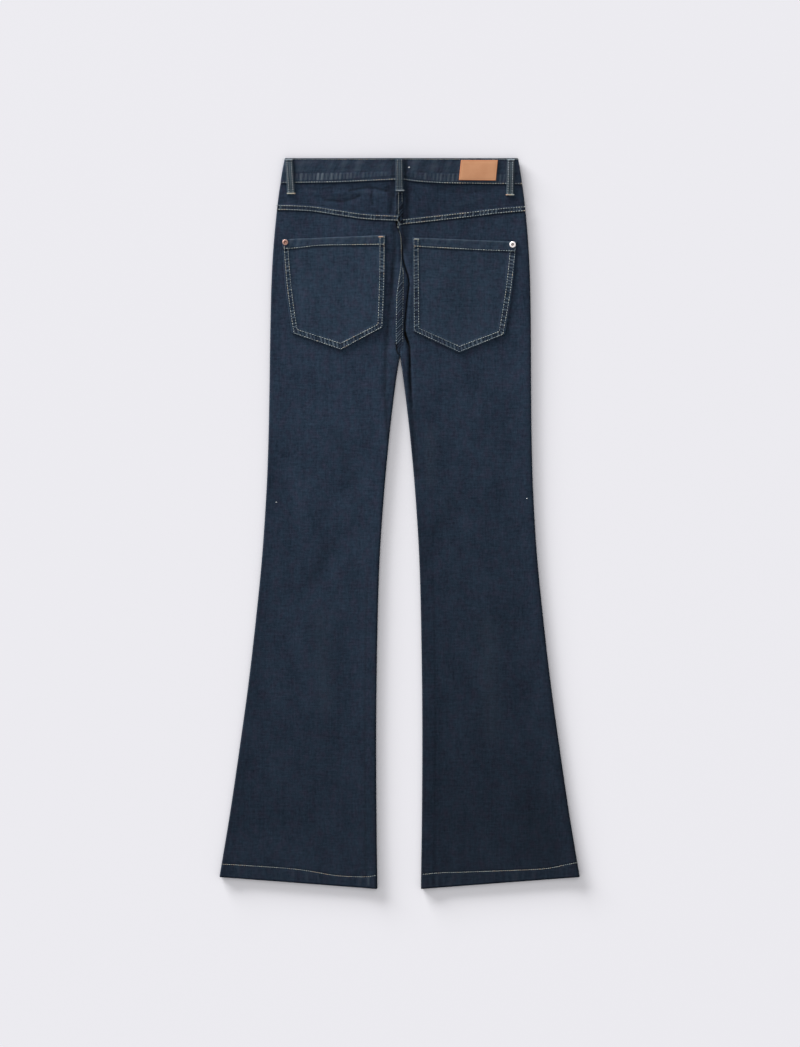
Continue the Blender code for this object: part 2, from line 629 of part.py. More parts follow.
def make_metal(copper, brass, parent):
    """Ring rivets on the pockets' outer top corners and the button under the front of the waist."""
    for name, (across, down) in RIVET_PLACES.items():
        seat = back_top(across, down) + DENIM + POCKET_HEM_RISE + 2 * SEAM_GAP
        make_turned(name, RIVET_PROFILE, (across, TOP_Y - down, seat), copper, parent)
    across, down = BUTTON_PLACE
    make_turned("waist_button", BUTTON_PROFILE, (across, TOP_Y - down, 0), brass, parent)


for old in list(bpy.data.objects):
    bpy.data.objects.remove(old, do_unlink=True)

jeans = bpy.data.objects.new("jeans", None)
bpy.context.scene.collection.objects.link(jeans)

surfaces = {name: make_material(name) for name in FINISHES}
make_legs(surfaces["denim"], jeans)
make_waistband(surfaces["denim_band"], jeans)
make_pockets(surfaces["denim"], jeans)
make_back_loops(surfaces["denim_band"], jeans)
make_front_loops(surfaces["denim_band"], jeans)
make_patch(surfaces["patch_board"], jeans)
make_metal(surfaces["copper"], surfaces["brass"], jeans)
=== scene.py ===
"""Bootcut jeans lying flat, back side up, seen straight from above.

Lengths along the garment are in millimetres: across runs to the right, down runs from the waist's
top edge to the hem, and heights are over the floor.
"""
import math

import bmesh
import bpy
import numpy as np
from mathutils import Matrix, Vector


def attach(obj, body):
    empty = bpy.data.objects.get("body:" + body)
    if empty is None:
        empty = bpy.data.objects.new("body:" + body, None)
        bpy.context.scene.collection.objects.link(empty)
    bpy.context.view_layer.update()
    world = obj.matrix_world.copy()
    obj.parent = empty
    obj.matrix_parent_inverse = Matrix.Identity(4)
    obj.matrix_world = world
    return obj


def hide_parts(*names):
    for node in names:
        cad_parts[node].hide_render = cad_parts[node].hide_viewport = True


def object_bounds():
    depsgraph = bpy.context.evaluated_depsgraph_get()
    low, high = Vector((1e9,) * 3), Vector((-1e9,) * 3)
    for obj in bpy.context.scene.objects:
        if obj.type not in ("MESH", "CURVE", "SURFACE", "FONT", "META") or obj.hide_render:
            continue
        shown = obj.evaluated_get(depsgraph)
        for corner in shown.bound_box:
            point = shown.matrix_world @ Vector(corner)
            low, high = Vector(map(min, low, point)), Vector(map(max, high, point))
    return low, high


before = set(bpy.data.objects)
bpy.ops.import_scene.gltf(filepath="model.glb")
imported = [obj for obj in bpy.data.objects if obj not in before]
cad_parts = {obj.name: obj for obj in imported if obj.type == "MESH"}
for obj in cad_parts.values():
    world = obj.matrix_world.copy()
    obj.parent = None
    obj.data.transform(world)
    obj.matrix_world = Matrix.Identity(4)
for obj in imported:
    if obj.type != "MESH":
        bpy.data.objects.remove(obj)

cad_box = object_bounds()
MM = 0.001
waist_y = cad_box[1].y

# Camera
# A long lens looks straight down at the garment, as in the photograph, and takes in 1.5 mm of the
# floor for each of the photograph's pixels.
PHOTO_PIXEL = 1.5 * MM
PHOTO_SIZE = (800, 1047)


def set_out(name, data):
    """An object that stands at the origin, in the scene."""
    item = bpy.data.objects.new(name, data)
    bpy.context.scene.collection.objects.link(item)
    return item


camera_height = 7.0
camera = bpy.data.cameras.new("camera")
camera.sensor_fit = "VERTICAL"
camera.sensor_height = 24
camera.lens = camera.sensor_height * camera_height / (PHOTO_SIZE[1] * PHOTO_PIXEL)
camera_stand = set_out("camera", camera)
camera_stand.location = (0.6 * MM, 0.15 * MM, camera_height)
bpy.context.scene.camera = camera_stand

# Back leg panels
# Two panels of dark stretch denim run from the yoke seam to the hem and meet in the felled seat
# seam. They lie on the front panels, with their hems turned up inside and stitched.
LENGTH = 1095.6
HEM_DOWN_AT_OUTSEAM = 1077.7
CROTCH_DOWN = 296.4
HEM_DEPTH = 20.0
DENIM = 1.1
HEM_WALL = 2.1
SEAM_GAP = 0.3
EDGE_ROUND = 2.6
QUARTER = math.pi / 2
WAIST_LEAN = 2.7
LEAN_ENDS_DOWN = 560.0
CENTRE_BACK_SEAM = 5.1
SEAM_SWINGS_DOWN = 235.0
CROTCH_CURL_START = CROTCH_DOWN - 18
SIDE_LINE = [(0, 174.9), (18, 178.3), (42, 181.8), (65, 184.9), (101, 188.6), (137, 191.5), (173, 193.4),
             (209, 194.5), (281, 195.6), (356, 196.3), (428, 197.5), (500, 200.0), (596, 206.1),
             (692, 215.6), (788, 226.7), (884, 239.9), (980, 254.0), (1078, 270.2)]
GAP_HALF = [(CROTCH_DOWN, 0), (309, 1.9), (332, 5.3), (380, 11.3), (428, 16.5), (500, 23.0), (596, 29.3),
            (692, 32.3), (836, 34.3), (980, 33.9), (1096, 32.4)]
GAP_MIDDLE = [(CROTCH_DOWN, 0.6), (309, 0.5), (332, 0.3), (500, 0.1), (692, -0.4), (980, -0.6), (1096, -0.7)]
PLAIN_TOP = [(0, 5.4), (60, 5.2), (120, 4.7), (300, 4.6), (420, 4.4), (600, 4.2), (850, 4.2), (1000, 4.4),
             (1060, 4.9), (1096, 4.9)]
LOWEST_TOP = 2.55
WAIST_LIFT = 1.8
EDGE_SWELL = 1.4
EDGE_SWELL_REACH = 22.0
LAP_HUMP = 2.2
BAND_DEPTH = 39.0
BAND_SEAM = [(-200, 38.2), (-155, 38.1), (-86, 36.9), (-20, 34.0), (5, 33.4), (22, 35.8), (60, 38.4),
             (120, 39.5), (200, 40.0)]
YOKE_SEAM = {-1: [(-200, 78.0), (-134, 80.5), (-90, 86.9), (-52, 92.3), (6, 95.2)],
             1: [(4, 100.2), (60, 94.2), (113, 88.1), (150, 83.6), (200, 79.4)]}

# Folds as (rise, half width, path of places): the deep ones first, then drag lines and leg bends
FOLDS = [
    (-1.9, 2.6, [(4, 141), (7, 160), (14, 181), (12, 206), (9.6, 235), (7, 260), (13, 277), (15, 299),
                 (16, 338), (19, 373)]),
    (-0.9, 4.5, [(20, 385), (24, 454)]),
    (-1.0, 6.0, [(12, 52), (13, 128)]),
    (-1.3, 2.2, [(-6, 97), (-1, 118), (2, 137), (2, 154)]),
    (0.5, 4.0, [(0, 45), (0, 90)]),
    (0.6, 4.5, [(0, 168), (0, 264)]),
    (-0.8, 4.5, [(-8, 104), (-7, 145), (-14, 206), (-20, 287), (-22, 350)]),
    (-0.5, 5.0, [(-125, 60), (-104, 63), (-82, 64), (-60, 57)]),
    (-0.6, 5.0, [(-72, 47), (-48, 44), (-20, 49)]),
    (-0.4, 4.0, [(-41, 50), (-42, 70)]),
    (-0.5, 4.0, [(-17, 46), (-11, 64), (-13, 82)]),
    (0.4, 5.0, [(-94, 54), (-60, 50)]),
    (-0.3, 5.0, [(19, 47), (31, 64)]),
    (-0.3, 6.0, [(60, 46), (105, 51), (136, 47)]),
    (0.25, 7.0, [(84, 70), (121, 61)]),
    (-0.6, 15, [(-82, 572), (-112, 618), (-138, 652)]),
    (-0.6, 15, [(86, 535), (61, 580), (43, 612)]),
    (0.5, 24, [(-120, 420), (-140, 640), (-150, 900)]),
    (0.5, 24, [(120, 400), (128, 650), (140, 900)]),
    (-0.5, 20, [(-80, 720), (-84, 860), (-90, 980)]),
    (-0.5, 20, [(190, 760), (205, 960)]),
    (-0.25, 9, [(-150, 330), (-118, 372), (-96, 390)]),
    (0.2, 10, [(-128, 352), (-84, 410)]),
    (-0.25, 8, [(42, 372), (74, 352), (120, 344)]),
    (-0.22, 8, [(64, 448), (96, 466), (150, 470)]),
    (-0.25, 10, [(-60, 480), (-92, 506), (-120, 556)]),
    (0.25, 12, [(-70, 600), (-110, 660)]),
    (-0.3, 10, [(96, 600), (120, 652), (128, 712)]),
    (-0.25, 9, [(-176, 700), (-150, 760), (-146, 830)]),
    (-0.25, 9, [(70, 820), (96, 880), (100, 940)]),
    (-0.22, 10, [(-190, 930), (-168, 1000)]),
    (-0.22, 10, [(160, 1000), (178, 1052)]),
    (0.2, 9, [(-120, 1010), (-110, 1062)]),
]
# Painted shading of the folds as (darkness, half width, path): painted shade in dark lines where the cloth
# folds onto itself and in wide weak patches on the legs, and negative ones that paint highlights along fold
# crests and two short pale streaks by the left hem
PAINTED_FOLD_SHADING = [
    (0.97, 1.5, [(-4.5, 97), (-3, 104), (1.4, 116), (3.8, 135), (4.8, 151), (8, 163), (12, 175), (14.4, 188),
                (12, 206), (10.4, 220), (7.6, 247), (8.4, 266), (12, 275)]),
    (0.97, 2.0, [(8.4, 262), (12, 274), (14.9, 283), (15.4, 311)]),
    (0.75, 2.6, [(15, 314.5), (16, 338), (17, 350)]),
    (0.3, 6.0, [(19, 362), (21, 400), (26, 470)]),
    (0.12, 10.0, [(34, 545), (38, 620), (40, 690)]),
    (0.15, 9.0, [(79, 511), (64, 535), (50, 560)]),
    (0.13, 8.0, [(-94, 412), (-86, 440), (-72, 478)]),
    (0.15, 9.0, [(-106, 580), (-120, 606), (-132, 632)]),
    (0.12, 22.0, [(196, 960), (212, 1040)]),
    (-0.08, 10.0, [(47, 410), (44, 484)]),
    (-0.08, 16.0, [(132, 700), (139, 860)]),
    (-0.06, 14.0, [(-120, 690), (-112, 820)]),
    (0.45, 3.2, [(2, 97), (5.5, 116), (7.5, 134)]),
    (0.9, 1.6, [(-5.2, 277), (-4.2, 288), (-2.4, 293)]),
    (0.5, 4.0, [(9.5, 40), (11, 66), (11, 90)]),
    (0.22, 4.0, [(11, 100), (12, 140)]),
    (0.45, 3.2, [(-10.5, 37), (-10, 46), (-9, 56)]),
    (0.36, 3.2, [(-8, 104), (-7, 145), (-13, 190), (-14, 206), (-20, 287), (-22, 350), (-18, 420)]),
    (0.25, 3.0, [(-14, 140), (-11, 180), (-9, 240)]),
    (0.34, 3.6, [(-17, 44), (-12, 62), (-13, 82)]),
    (0.47, 1.7, [(-112, 62), (-98, 63.5), (-84, 64.5), (-70, 61), (-60, 56)]),
    (0.46, 1.8, [(-76, 49), (-62, 46), (-50, 43.8), (-36, 44.5), (-20, 49)]),
    (0.44, 1.6, [(-41, 50), (-43, 58), (-41, 69)]),
    (0.25, 1.6, [(-134, 44), (-118, 47), (-104, 44)]),
    (0.25, 1.6, [(60, 45), (84, 50.5), (105, 51), (136, 46)]),
    (0.22, 1.5, [(19, 47), (31, 63)]),
    (-0.11, 1.6, [(-108, 58.5), (-90, 59.5), (-72, 55)]),
    (-0.11, 1.8, [(-64, 51.5), (-46, 50), (-28, 55)]),
    (-0.10, 1.6, [(-140, 47), (-126, 50.5)]),
    (-0.09, 1.8, [(84, 70), (104, 66), (121, 61)]),
    (-0.55, 1.8, [(-46.6, 1075), (-46.2, 1089)]),
    (-0.10, 1.5, [(-122.3, 1071), (-121.4, 1086)]),
]

# The left side of the felled seat seam's ridge, as (down, across)
SEAT_SEAM_LEFT = [(44, -5.4), (120, -5.4), (150, 3.0), (164, 2.2), (184, -0.8), (205, -4.0), (279, -4.9)]


def smooth_step(value):
    value = np.clip(value, 0.0, 1.0)
    return value * value * (3 - 2 * value)


def soft_bump(distance, width):
    """1 at the place itself, falling away smoothly over the width."""
    return np.exp(-(distance / width) ** 2)


def read_curve(rows, place):
    """Values at places along a table of (mark, value) rows, on a smooth curve through them."""
    marks, values = np.array(rows, float).T
    place = np.clip(np.asarray(place, float), marks[0], marks[-1])
    slopes = np.empty_like(values)
    slopes[1:-1] = (values[2:] - values[:-2]) / (marks[2:] - marks[:-2])
    slopes[0], slopes[-1] = np.diff(values[:2])[0] / np.diff(marks[:2])[0], \
        np.diff(values[-2:])[0] / np.diff(marks[-2:])[0]
    index = np.clip(np.searchsorted(marks, place, side="right") - 1, 0, len(marks) - 2)
    span = marks[index + 1] - marks[index]
    t = (place - marks[index]) / span
    start = (2 * t ** 3 - 3 * t ** 2 + 1) * values[index] + (t ** 3 - 2 * t ** 2 + t) * span * slopes[index]
    end = (3 * t ** 2 - 2 * t ** 3) * values[index + 1] + (t ** 3 - t ** 2) * span * slopes[index + 1]
    return start + end


def path_distance(path, across, down):
    """Distance of each place from a path of straight runs."""
    nearest = np.full(np.broadcast(across, down).shape, 1e9)
    for (x0, y0), (x1, y1) in zip(path, path[1:]):
        run_x, run_y = x1 - x0, y1 - y0
        part = np.clip(((across - x0) * run_x + (down - y0) * run_y) / (run_x ** 2 + run_y ** 2), 0, 1)
        nearest = np.minimum(nearest, np.hypot(across - x0 - part * run_x, down - y0 - part * run_y))
    return nearest


def outer_edge(side, down):
    lean = WAIST_LEAN * np.maximum(0.0, 1 - down / LEAN_ENDS_DOWN)
    return lean + side * read_curve(SIDE_LINE, down)


def inner_edge(side, down, seam=CENTRE_BACK_SEAM):
    swing = smooth_step((down - SEAM_SWINGS_DOWN) / (CROTCH_DOWN - SEAM_SWINGS_DOWN))
    at_seam = seam + (GAP_MIDDLE[0][1] - seam) * swing + side * SEAM_GAP / 2
    at_gap = read_curve(GAP_MIDDLE, down) + side * (read_curve(GAP_HALF, down) + SEAM_GAP / 2)
    return np.where(down < CROTCH_DOWN, at_seam, at_gap)


def crotch_curl(down):
    return smooth_step((down - CROTCH_CURL_START) / (CROTCH_DOWN - CROTCH_CURL_START))


def swell_share(down):
    return smooth_step((down - 50) / 60)


def underside(down):
    return WAIST_LIFT * (1 - smooth_step((down - 58) / 37))


def edge_distances(across, down):
    """How far a place is from its leg's outer side and from its inner side."""
    side = np.where(across < CENTRE_BACK_SEAM, -1.0, 1.0)
    outer = side * (np.where(side < 0, outer_edge(-1, down), outer_edge(1, down)) - across)
    inner = side * (across - np.where(side < 0, inner_edge(-1, down), inner_edge(1, down)))
    return outer, inner


def lap_hump(across, down):
    """How far the waistband's lapped ends lift the middle of the back."""
    return LAP_HUMP * np.exp(-(across / 75.0) ** 2 - (np.maximum(0.0, down - 40.0) / 60.0) ** 2)


def band_seam(across):
    return read_curve(BAND_SEAM, across)


def yoke_seam(side, across):
    return read_curve(YOKE_SEAM[side], across)


def hem_line(side, across):
    inseam, outseam = abs(inner_edge(side, LENGTH)), abs(outer_edge(side, HEM_DOWN_AT_OUTSEAM))
    part = np.clip((np.abs(across) - inseam) / (outseam - inseam), 0, 1)
    return LENGTH + (HEM_DOWN_AT_OUTSEAM - LENGTH) * part


# Where the back pockets lie: corners as (across, down), bows of their sides, depths of their hems
POCKETS = {
    "left": dict(side=-1, outer_top=(-176.4, 121.7), inner_top=(-20.7, 115.4), inner_bottom=(-24.2, 253.5),
                 point=(-88.0, 288.3), outer_bottom=(-161.7, 262.7), outer_bow=-2.4, inner_bow=1.1,
                 hem=[(0.0, 13.3), (0.08, 14.0), (0.2, 12.9), (0.33, 11.3), (0.53, 11.6), (1.0, 13.6)]),
    "right": dict(side=1, outer_top=(175.7, 125.3), inner_top=(19.5, 119.1), inner_bottom=(20.0, 259.8),
                  point=(89.5, 292.6), outer_bottom=(158.6, 264.3), outer_bow=2.4, inner_bow=0.0,
                  hem=[(0.0, 14.0), (0.3, 14.2), (0.6, 13.6), (1.0, 12.6)]),
}

# Depth of the hem's row of stitches over the hem's edge, along each leg from its inner side
HEM_STITCH = {-1: [(0, 20.9), (14, 17.6), (31, 16.1), (59, 15.4), (74, 16.4), (90, 18.0), (103, 19.2),
                   (118, 20.3), (151, 20.8), (233, 19.9)],
              1: [(0, 21.8), (26, 22.2), (64, 20.6), (98, 19.2), (160, 16.9), (192, 16.8), (222, 20.8),
                  (240, 22.8)]}


def hem_stitch(side, across):
    inseam = abs(inner_edge(side, LENGTH))
    return hem_line(side, across) - read_curve(HEM_STITCH[side], np.abs(across) - inseam)


def roping(along, over, period, seed):
    """Uneven slanting ripples along a seam, from -1 to 1."""
    draw = np.random.default_rng(seed)
    phases = draw.uniform(0, 2 * math.pi, 5)
    drift = sum(np.sin(along / scale + phase) for scale, phase in zip((41, 23, 13.7), phases))
    main = np.sin(2 * math.pi * (along + 0.55 * over) / period + 1.1 * drift + phases[3])
    return main * (0.65 + 0.35 * np.sin(along / 17.3 + phases[4]))


def rope_strokes(along, over, period, seed):
    """Uneven slanting strokes along a seam: 0 in the hollows, up to 1 on the crests of the rope."""
    draw = np.random.default_rng(seed)
    phases = draw.uniform(0, 2 * math.pi, 3)
    strengths = draw.uniform(0.25, 1.0, 997)
    turns = (along + 0.55 * over) / period + 0.30 * np.sin(along / 23 + phases[0])
    turns = turns + 0.16 * np.sin(along / 7.3 + phases[1]) + 400
    whole = np.floor(turns).astype(int)
    return strengths[whole % 997] * np.sin(math.pi * (turns - whole)) ** 2.2


def band_between(value, low, high, soft):
    """1 between low and high, falling to 0 over a soft stretch outside them."""
    return smooth_step((value - low) / soft + 1) * smooth_step((high - value) / soft + 1)


def back_relief(across, down):
    """Heights of the back's plain face, and how its colour is lifted (up: fading and painted highlight) or
    lowered (down: painted shade) there.
    """
    outer, inner = edge_distances(across, down)
    swell = soft_bump(outer, EDGE_SWELL_REACH) + crotch_curl(down) * soft_bump(inner, EDGE_SWELL_REACH)
    height = read_curve(PLAIN_TOP, down) + EDGE_SWELL * swell_share(down) * np.minimum(swell, 1.0)
    height = height + lap_hump(across, down)
    for rise, width, path in FOLDS:
        height = height + rise * soft_bump(path_distance(path, across, down), width)
    wear_and_shading = np.zeros_like(height)
    # painted shade along the folds, and painted highlights on their crests
    for dark, width, path in PAINTED_FOLD_SHADING:
        wear_and_shading = wear_and_shading - dark * soft_bump(path_distance(path, across, down), width)
    # painted shade along the outer sides, where the cloth turns under, and along the inner sides below the
    # crotch
    wear_and_shading = wear_and_shading - 0.30 * soft_bump(outer, 5.0) - 0.30 * (down > CROTCH_DOWN) * soft_bump(inner, 4.0)
    side_is_left = across < CENTRE_BACK_SEAM
    # the felled seat seam: a roped ridge between its two rows of stitches, with wear and painted highlight on
    # its crests and painted shade in its hollows
    seam_start = read_curve(SEAT_SEAM_LEFT, down)
    seat_seam = band_between(across, seam_start, 4.8, 1.0) * band_between(down, 44, CROTCH_DOWN - 14, 6)
    seat_seam = seat_seam * np.where(down < 100, 1.0, smooth_step((down - 160) / 14))
    strokes = rope_strokes(down, 2.0 * across, 4.6, 11)
    height = height + seat_seam * (0.25 + 0.45 * strokes)
    wear_and_shading = wear_and_shading + seat_seam * (1.5 * strokes - 0.58)
    # where the seam runs up the yoke: painted shade, with lighter strokes for wear and painted highlight
    yoke_part = band_between(across, -4.2, 6.2, 1.5) * band_between(down, 49, 96, 3)
    wear_and_shading = wear_and_shading + yoke_part * (0.35 * strokes - 0.42)
    # the inseam's allowance, pressed to the back, shows as a soft step inside the inner side, with a painted
    # shadow line just past the step
    lower_leg = smooth_step((down - 560) / 120)
    step_at = np.where(side_is_left, 15.6, 18.0)
    imprint = band_between(inner, -4, step_at, 2.2) * lower_leg
    height = height + 0.22 * imprint
    wear_and_shading = wear_and_shading - np.where(side_is_left, 0.26, 0.08) * lower_leg * soft_bump(inner - step_at - 1.6, 1.8)
    height = height + 0.16 * band_between(outer, -4, 12.0, 2.5) * smooth_step((down - 330) / 100)
    return np.maximum(height, LOWEST_TOP), wear_and_shading


def panel_face(side, across, down):
    """The back panel's face: the plain face, the ditch under the yoke and the roped hem, with painted shade
    in the ditch, over the hem and round the pockets.
    """
    height, wear_and_shading = back_relief(across, down)
    below_yoke = down - yoke_seam(side, across)
    pull = roping(across, down, 7.4, 21 + side)
    height = height - 0.35 * soft_bump(below_yoke, 1.6) + 0.14 * pull * soft_bump(below_yoke, 5.0)
    # painted shade in the ditch under the yoke, with its ripples painted lighter and darker
    wear_and_shading = wear_and_shading - 0.28 * soft_bump(below_yoke, 1.5) + 0.08 * pull * soft_bump(below_yoke - 3.5, 3.0)
    above_edge = hem_line(side, across) - down
    above_row = hem_stitch(side, across) - down
    in_hem = smooth_step((1.6 - above_row) / 1.6)
    ripple = roping(across, 0.5 * down, 17.0, 31 + side) * roping(across, 0.0, 43.0, 33 + side)
    ripple = ripple + 0.4 * roping(across, -0.4 * down, 8.7, 35 + side)
    height = height + in_hem * (0.30 + 0.12 * ripple) - 0.2 * soft_bump(above_row, 1.1)
    # wear and painted highlight on the hem's ripples; painted shade over the hem's row and along its folded
    # edge
    wear_and_shading = wear_and_shading + in_hem * (0.18 * ripple + 0.02) - 0.3 * soft_bump(above_row - 1.6, 1.3)
    wear_and_shading = wear_and_shading - 0.35 * soft_bump(above_edge, 1.6)
    # a painted shadow round each pocket's outline
    for pocket in POCKETS.values():
        corners = ("outer_top", "inner_top", "inner_bottom", "point", "outer_bottom", "outer_top")
        outline = [pocket[name] for name in corners]
        wear_and_shading = wear_and_shading - 0.12 * soft_bump(path_distance(outline, across, down), 1.8)
    return height, wear_and_shading


def spread(low, high, spacing):
    """Even places from low to high, no further apart than the spacing."""
    return np.linspace(low, high, max(2, int(math.ceil((high - low) / spacing)) + 1))


EDGE_TURNS = np.linspace(0, QUARTER, 7)
EDGE_INSETS = EDGE_ROUND * (1 - np.cos(EDGE_TURNS))


def panel_columns(width, outer_zone, middle_count, inner_places):
    """Distances from the outer side for every column of a panel, at each width of the panel."""
    outer = np.concatenate([EDGE_INSETS, spread(EDGE_ROUND, outer_zone, 2.6)[1:]])
    inner = np.concatenate([inner_places, EDGE_INSETS[::-1]])
    width = np.asarray(width, float)
    parts = np.linspace(0, 1, middle_count + 2)[1:-1]
    columns = [np.full(width.shape, place) for place in outer]
    columns += [outer_zone + part * (width - outer_zone - inner_places[0]) for part in parts]
    columns += [width - place for place in inner]
    turns_out = np.concatenate([EDGE_TURNS, np.full(len(columns) - len(EDGE_TURNS), QUARTER)])
    turns_in = np.concatenate([np.full(len(columns) - len(EDGE_TURNS), QUARTER), EDGE_TURNS[::-1]])
    return np.stack(columns), turns_out, turns_in


def lay_panel(side, rows, zones, seam, lines):
    """Places across and down for a panel's grid; rows holds (part of the length, inset) pairs."""
    top_line, end_line = lines
    count = panel_columns(np.array(150.0), *zones)[0].shape[0]
    parts, insets = np.array(rows, float).T
    down = np.full((count, len(rows)), 300.0)
    for _ in range(4):
        start = outer_edge(side, down)
        width = np.abs(inner_edge(side, down, seam) - start)
        places = np.stack([panel_columns(width[i], *zones)[0][i] for i in range(count)])
        across = start - side * places
        top, end = top_line(side, across), end_line(side, across)
        down = top + parts * (end - top) + insets
    turns = panel_columns(np.array(150.0), *zones)[1:]
    return across, down, turns


def fold_round(side, across, down, turns, face, far, wall, soft_end=None):
    """Outer and inner skins of a panel whose sides curl round to the seams; face is 1 or -1."""
    turns_out, turns_in = turns[0][:, None], turns[1][:, None]
    curl = crotch_curl(down)
    rise = np.sin(turns_out) * (1 - curl + curl * np.sin(turns_in))
    lean = side * (np.cos(turns_out) - curl * np.cos(turns_in))
    size = np.hypot(lean, rise)
    swollen = read_curve(PLAIN_TOP, down) + EDGE_SWELL * swell_share(down)
    seat = (underside(down) + swollen + face * SEAM_GAP) / 2
    height = seat + (far - seat) * rise
    thick = wall if soft_end is None else wall * soft_end
    dip = 0.0 if soft_end is None else wall * (1 - soft_end) / 2
    outer = np.stack([across - dip * lean / size, down, height - face * dip * rise / size], -1)
    inner = outer - np.stack([thick * lean / size, np.zeros_like(down), face * thick * rise / size], -1)
    return outer, inner


def round_end(distance, radius):
    """Share of the cloth's thickness left near a folded edge."""
    inside = np.clip(1 - distance / radius, 0, 1)
    return np.maximum(np.sqrt(np.clip(1 - inside ** 2, 0, 1)), 0.25)


def cloth_wall(name, outer, inner, wear_and_shading, grain=None):
    """A closed cloth wall between two skins of places, with its cut as UV and its fading and painted shading
    as a value.
    """
    columns, rows = wear_and_shading.shape
    bm = bmesh.new()
    bmesh.ops.create_grid(bm, x_segments=columns - 1, y_segments=rows - 1, size=0.5)
    skin = bmesh.ops.extrude_face_region(bm, geom=bm.faces[:], use_keep_orig=True)
    lower = [item for item in skin["geom"] if isinstance(item, bmesh.types.BMVert)]
    bmesh.ops.translate(bm, verts=lower, vec=(0, 0, -0.1))
    bmesh.ops.recalc_face_normals(bm, faces=bm.faces[:])
    mesh = bpy.data.meshes.new(name)
    bm.to_mesh(mesh)
    flat = np.empty(len(mesh.vertices) * 3, np.float32)
    mesh.vertices.foreach_get("co", flat)
    flat = flat.reshape(-1, 3)
    i = np.rint((flat[:, 0] + 0.5) * (columns - 1)).astype(int)
    j = np.rint((0.5 - flat[:, 1]) * (rows - 1)).astype(int)
    places = np.where((flat[:, 2] < -0.05)[:, None], inner[i, j], outer[i, j])
    world = np.stack([places[:, 0] * MM, waist_y - places[:, 1] * MM, places[:, 2] * MM], -1)
    mesh.vertices.foreach_set("co", world.astype(np.float32).ravel())
    cut = outer[..., :2] if grain is None else grain
    corners = np.empty(len(mesh.loops), np.int32)
    mesh.loops.foreach_get("vertex_index", corners)
    uv_layer = mesh.uv_layers.new(name="cut")
    uv_layer.data.foreach_set("uv", (cut[i, j][corners] * MM).astype(np.float32).ravel())
    mesh.attributes.new("wear_and_shading", "FLOAT", "POINT").data.foreach_set("value", wear_and_shading[i, j].astype(np.float32))
    bm.clear()
    bm.from_mesh(mesh)
    if bm.calc_volume(signed=True) < 0:
        bmesh.ops.reverse_faces(bm, faces=bm.faces[:])
    bm.to_mesh(mesh)
    bm.free()
    mesh.shade_smooth()
    return set_out(name, mesh)


def node_in(tree, kind, values=None, **settings):
    """A shader node with its settings and plain input values."""
    node = tree.nodes.new(kind)
    for key, value in settings.items():
        setattr(node, key, value)
    for key, value in (values or {}).items():
        node.inputs[key].default_value = value
    return node


def maths(tree, operation, first, second, clamp=False):
    node = node_in(tree, "ShaderNodeMath", operation=operation, use_clamp=clamp)
    for socket, value in zip(node.inputs, (first, second)):
        if isinstance(value, (int, float)):
            socket.default_value = value
        else:
            tree.links.new(value, socket)
    return node.outputs[0]


def blend_colours(tree, share, first, second, blend="MIX"):
    node = node_in(tree, "ShaderNodeMix", data_type="RGBA", blend_type=blend)
    for socket, value in zip((node.inputs[0], node.inputs[6], node.inputs[7]), (share, first, second)):
        if isinstance(value, (int, float, tuple)):
            socket.default_value = value
        else:
            tree.links.new(value, socket)
    return node.outputs[2]


def stretched_noise(tree, place, stretch, scale, detail=2.0):
    """Noise on the cut, drawn out along warp or weft; the values lie around a half."""
    mapping = node_in(tree, "ShaderNodeMapping", {"Scale": (*stretch, 1.0)})
    tree.links.new(place, mapping.inputs["Vector"])
    noise = node_in(tree, "ShaderNodeTexNoise", {"Scale": scale, "Detail": detail, "Roughness": 0.55})
    tree.links.new(mapping.outputs[0], noise.inputs["Vector"])
    return noise.outputs["Fac"]


